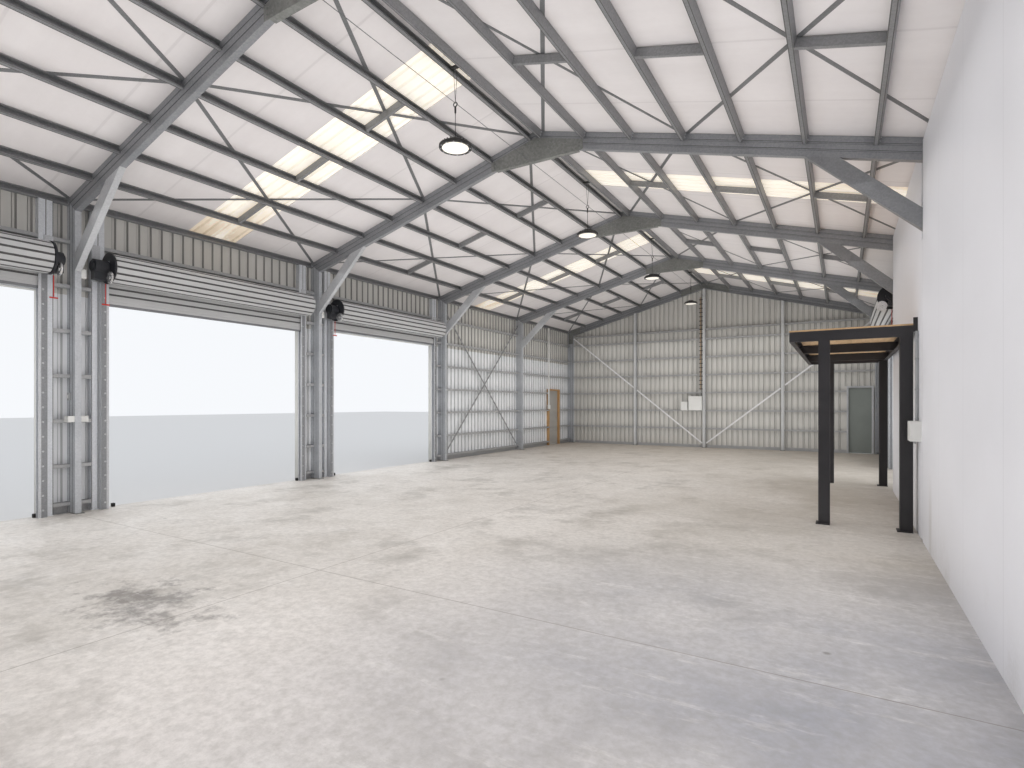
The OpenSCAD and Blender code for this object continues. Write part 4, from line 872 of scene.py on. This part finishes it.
# %% Painted shade in the lath grooves, and bottom rails
drum_radius = 0.215
lath_count = 14
lath_height = 2 * math.pi * drum_radius / lath_count
curtain_half = 0.012
curtain_lap = 0.023
curtain_end = 3.114
low_curtain_bay = 2
low_curtain_end = 2.995
hanging_x = girt_face_x - 0.04
rail_half = 0.0135
rail_height = 0.07
groove_shade_skins = bmesh.new()
rails = bmesh.new()
for side, k, door_near in doorways:
    near = door_near - curtain_lap
    far = near + door_width + 2 * curtain_lap
    for i in range(lath_count):
        profile = []
        for share, lift in groove_skin(lath_rise):
            angle = 2 * math.pi * (i + share) / lath_count
            radius = drum_radius - lath_rise + lift
            profile.append((side * (roll_x + radius * math.cos(angle)),
                            roll_z - radius * math.sin(angle)))
        add_prism(groove_shade_skins, profile, near, far)
    end_z = floor_z + (low_curtain_end if k == low_curtain_bay else curtain_end)
    low_z = end_z + rail_height
    for i in range(1, int((roll_z - low_z) / lath_height)):
        for face in (1, -1):
            profile = []
            for share, lift in groove_skin(lath_rise / 2):
                depth = curtain_half - lath_rise / 2 + lift
                profile.append((side * hanging_x + face * depth, low_z + (i + share) * lath_height))
            add_prism(groove_shade_skins, profile, near, far)
    add_box(rails, (side * hanging_x - rail_half, near, end_z - 0.004),
            (side * hanging_x + rail_half, far, end_z + 0.034), bevel=0.003)
bmesh.ops.recalc_face_normals(groove_shade_skins, faces=groove_shade_skins.faces)
finish_piece(groove_shade_skins, "lath_groove_shade", seam_and_shade_grey)
finish_piece(rails, "bottom_rails", rail_grey)

# %% [markdown]
# At the foot of each guide a small black rubber stop stands on the slab.

# %% Door stops
stop_half = Vector((0.025, 0.022, 0))
stop_height = Vector((0, 0, 0.055))
stops = bmesh.new()
for side, _, near in doorways:
    for y in (near + 0.13, near + door_width - 0.03):
        foot = Vector((side * (half_span - 0.06), y, floor_z))
        add_box(stops, foot - stop_half, foot + stop_half + stop_height, bevel=0.006)
finish_piece(stops, "door_stops", rubber)

# %% [markdown]
# Each lamp has a pale lens under its black housing, held by a ring of small screws, and cooling
# fins on its back.

# %% Lamp lenses and fins
lamp_low_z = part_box("high_bay_lamps")[0].z
lamp_radius = 0.205
fin_count = 24
fin_size = (0.078, 0.004, 0.028)
fin_ring = 0.135
fin_rise = 0.056
screw_ring = 0.188
lenses = bmesh.new()
fins = bmesh.new()
screws = bmesh.new()
for frame_y in frame_ys[:-1]:
    under = Vector((0, frame_y + bay / 2, lamp_low_z))
    add_cone(lenses, 40, 0.82 * lamp_radius, 0.80 * lamp_radius, 0.005,
             Matrix.Translation(under + Vector((0, 0, 0.003))))
    for i in range(fin_count):
        angle = 2 * math.pi * i / fin_count
        outward = Vector((math.cos(angle), math.sin(angle), 0))
        fin_place = Matrix.Translation(under + outward * fin_ring + Vector((0, 0, fin_rise)))
        add_block(fins, fin_size, fin_place @ Matrix.Rotation(angle, 4, "Z"))
        if i % 2 == 0:
            add_bolt(screws, under + outward * screw_ring, (0, 0, -1), head=0.012)
finish_piece(lenses, "lamp_lenses", lens_white)
finish_piece(fins, "lamp_fins", lamp_black)
finish_piece(screws, "lamp_screws", bright_steel)

# %% [markdown]
# The conduit down the white wall is grey, with four saddles on straps and a gland under its box.

# %% Conduit
white_x = inner_x - 0.10
conduit_y = 0.374
conduit_x = white_x - 0.0163
conduit_top = floor_z + 2.41
box_top = floor_z + 1.345
saddle_height = 0.022
gland_x, gland_y = white_x - 0.05, conduit_y - 0.13
conduit = bmesh.new()
add_rod(conduit, (conduit_x, conduit_y, box_top), (conduit_x, conduit_y, conduit_top), 0.0167, 24)
add_rod(conduit, (gland_x, gland_y, box_top - 0.26), (gland_x, gland_y, box_top - 0.23), 0.014, 16)
for z in (box_top + 0.012, box_top + 0.36, box_top + 0.72, conduit_top - 0.06):
    for deep, half_width, bevel in ((0.036, 0.02, 0.003), (0.004, 0.045, 0.001)):
        add_box(conduit, (white_x - deep, conduit_y - half_width, z),
                (white_x, conduit_y + half_width, z + saddle_height), bevel)
finish_piece(conduit, "grey_conduit", conduit_grey)

# %% [markdown]
# Two outlets and a grey switch are fixed at the second frame of the left wall. Each outlet has a
# cover, and the switch has a pale rocker in a surround.

# %% Switch and covers
outlet_y = frame_ys[2]
outlet_z = floor_z + 1.29
switch_z = floor_z + 1.60
covers = bmesh.new()
add_box(covers, (-inner_x - 0.14, outlet_y - 0.079, outlet_z + 0.008),
        (-inner_x - 0.02, outlet_y - 0.0745, outlet_z + 0.077), bevel=0.002)
add_box(covers, (-girt_face_x + 0.0495, outlet_y + 0.094, outlet_z + 0.008),
        (-girt_face_x + 0.054, outlet_y + 0.193, outlet_z + 0.077), bevel=0.002)
add_box(covers, (-girt_face_x - 0.012, outlet_y - 0.032, switch_z + 0.025),
        (-girt_face_x + 0.012, outlet_y - 0.027, switch_z + 0.075), bevel=0.002)
finish_piece(covers, "outlet_covers", switch_white)
surround = bmesh.new()
add_box(surround, (-girt_face_x - 0.029, outlet_y - 0.028, switch_z - 0.004),
        (-girt_face_x + 0.029, outlet_y + 0.001, switch_z + 0.104), bevel=0.004)
finish_piece(surround, "switch_surround", conduit_grey)

# %% [markdown]
# A cable run climbs the ladder beside the middle mullion of the rear gable: two tan sheaths under
# a row of dark clips, one on each rung.

# %% Cable run
ladder_low, ladder_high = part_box("cable_ladder")
ladder_width = ladder_high.x - ladder_low.x
rung_step = 0.15
rung_height = 0.016
clip_over = 0.008
sheaths = bmesh.new()
for share, radius in ((0.3, 0.012), (0.52, 0.009)):
    x = ladder_low.x + share * ladder_width
    y = ladder_low.y + 0.004
    add_rod(sheaths, (x, y, ladder_low.z + 0.05), (x, y, ladder_high.z - 0.05), radius)
clips = bmesh.new()
for i in range(int((ladder_high.z - ladder_low.z) / rung_step)):
    z = ladder_low.z + (i + 0.5) * rung_step
    add_box(clips, (ladder_low.x + 0.004, ladder_low.y - 0.014, z - clip_over),
            (ladder_high.x - 0.004, ladder_low.y + 0.02, z + rung_height + clip_over), bevel=0.003)
finish_piece(sheaths, "cable_sheaths", cable_sheath)
finish_piece(clips, "cable_clips", seam_and_shade_grey)

# %% [markdown]
# Purlins are laid down each slope at equal steps. Each one is held at both ends by two bolts
# through its web.

# %% Purlin bolts
purlin_first = 0.14
purlin_spaces = 7
purlin_step = (half_span / math.cos(roof_pitch) - purlin_first) / purlin_spaces
bolt_from_end = 0.04
bolt_depths = (0.03, 0.07)


def purlins():
    """Each purlin: its side, the place of its slope, its two ends and its web's way downhill."""
    for side in (1, -1):
        on_slope = Matrix.Translation((0, 0, ridge_z)) @ Matrix.Rotation(side * roof_pitch, 4, "Y")
        for k in range(bays):
            start = frame_ys[k] + column_width
            end = frame_ys[k + 1] - (column_width if k == bays - 1 else 0)
            for i in range(purlin_spaces):
                yield side, on_slope, start, end, purlin_first + i * purlin_step


held = bmesh.new()
for side, on_slope, start, end, web in purlins():
    downhill = on_slope.to_3x3() @ Vector((side, 0, 0))
    for y in (start + bolt_from_end, end - bolt_from_end):
        for depth in bolt_depths:
            add_bolt(held, on_slope @ Vector((side * web, y, -depth)), downhill, head=0.018)
finish_piece(held, "purlin_bolts", bright_steel)

# %% [markdown]
# The lower flange of a purlin has rolled edges. They lie in shade, which outlines each purlin
# against the lining, so a thin dark skin of painted shade runs along both of them.

# %% Painted shade on the purlin edges
purlin_width = 0.05
edge_width = 0.007
edge_gap = 0.001
edge_insets = (0.0015 + edge_width, purlin_width - 0.0015)
edges = bmesh.new()
for side, on_slope, start, end, web in purlins():
    for inset in edge_insets:
        middle = (side * (web - inset + edge_width / 2), (start + end) / 2, -purlin_depth)
        edge_size = (edge_width, end - start - 2 * edge_gap, skin)
        add_block(edges, edge_size, on_slope @ Matrix.Translation(middle))
finish_piece(edges, "purlin_edge_shade", seam_and_shade_grey)

# %% [markdown]
# The hall stands on a plain pale floor under an even sky. The world is nearly white to the camera
# and to reflections, and a little less strong as a light, so that pale sheets keep their tone.

# %% World and floor
world = bpy.data.worlds.new("pale_sky")
bpy.context.scene.world = world
world.use_nodes = True
tree = world.node_tree
rays = tree.nodes.new("ShaderNodeLightPath").outputs
mirrored = math_node(tree, "MAXIMUM", rays["Is Glossy Ray"], rays["Is Transmission Ray"])
seen = math_node(tree, "MAXIMUM", rays["Is Camera Ray"], mirrored)
sky = tree.nodes["Background"]
put(tree, sky.inputs["Color"], mix_colour(tree, seen, (0.80, 0.82, 0.85), (0.93, 0.95, 0.98)))
put(tree, sky.inputs["Strength"], 1.0)

ground_size = 160.0
ground_mesh = bmesh.new()
bmesh.ops.create_grid(ground_mesh, x_segments=1, y_segments=1, size=ground_size / 2)
ground_data = bpy.data.meshes.new("studio_floor")
ground_mesh.to_mesh(ground_data)
ground_mesh.free()
ground = bpy.data.objects.new("studio_floor", ground_data)
ground_paint, tree, shader, _ = start_material("studio_floor_paint", Roughness=0.9)
surface(tree, shader, (0.80, 0.80, 0.80))
ground_data.materials.append(ground_paint)
bpy.context.scene.collection.objects.link(ground)
print("studio floor", ground_size, "m wide")

# %% [markdown]
# A closed hall needs light of its own. Soft panels stand in for daylight that has bounced about:
# one under the roof shines down, one near the floor shines up on the lining and the steel, as a
# pale sunlit floor does, and weaker ones shine from the white wall and from the front gable.
# Panels of daylight stand in the doorways too. None of them shows to the camera or in
# reflections, and each one's power is worked out from the brightness wanted and its area. The
# lamps are sampled directly and not met by stray rays, which gives the same light in less time.

# %% Lamps
def soft_panel(name, width, length, place, turn, brightness):
    data = bpy.data.lights.new(name, "AREA")
    data.shape = "RECTANGLE"
    data.size = width
    data.size_y = length
    data.energy = brightness * math.pi * width * length
    data.cycles.use_multiple_importance_sampling = False
    panel = bpy.data.objects.new(name, data)
    panel.location = place
    panel.rotation_euler = turn
    panel.visible_camera = False
    panel.visible_glossy = False
    bpy.context.scene.collection.objects.link(panel)


quarter = math.radians(90)
left_brightness = 1.15
right_brightness = 2.0
soft_panel("daylight_from_above", 9.0, 24.0, (0, 0, eave_z - 0.3), (0, 0, 0), 0.62)
soft_panel("daylight_off_the_floor", 8.5, 24.0, (0, 0, floor_z + 0.05), (2 * quarter, 0, 0), 0.58)
soft_panel("daylight_off_the_white_wall", 3.0, 22.0, (4.8, 0, floor_z + 1.9),
           (0, quarter, 0), 0.35)
soft_panel("daylight_along_the_hall", 8.5, 3.4, (0, -half_long + 0.4, floor_z + 2.2),
           (quarter, 0, 0), 0.5)
for side, k, near in doorways:
    soft_panel(f"doorway_daylight_{k}", 3.2, 2.3,
               (side * (half_span + 0.3), near + door_width / 2, floor_z + 1.75),
               (quarter, 0, quarter * side), right_brightness if side > 0 else left_brightness)

# %% Finish
bpy.context.scene.view_settings.view_transform = "Standard"
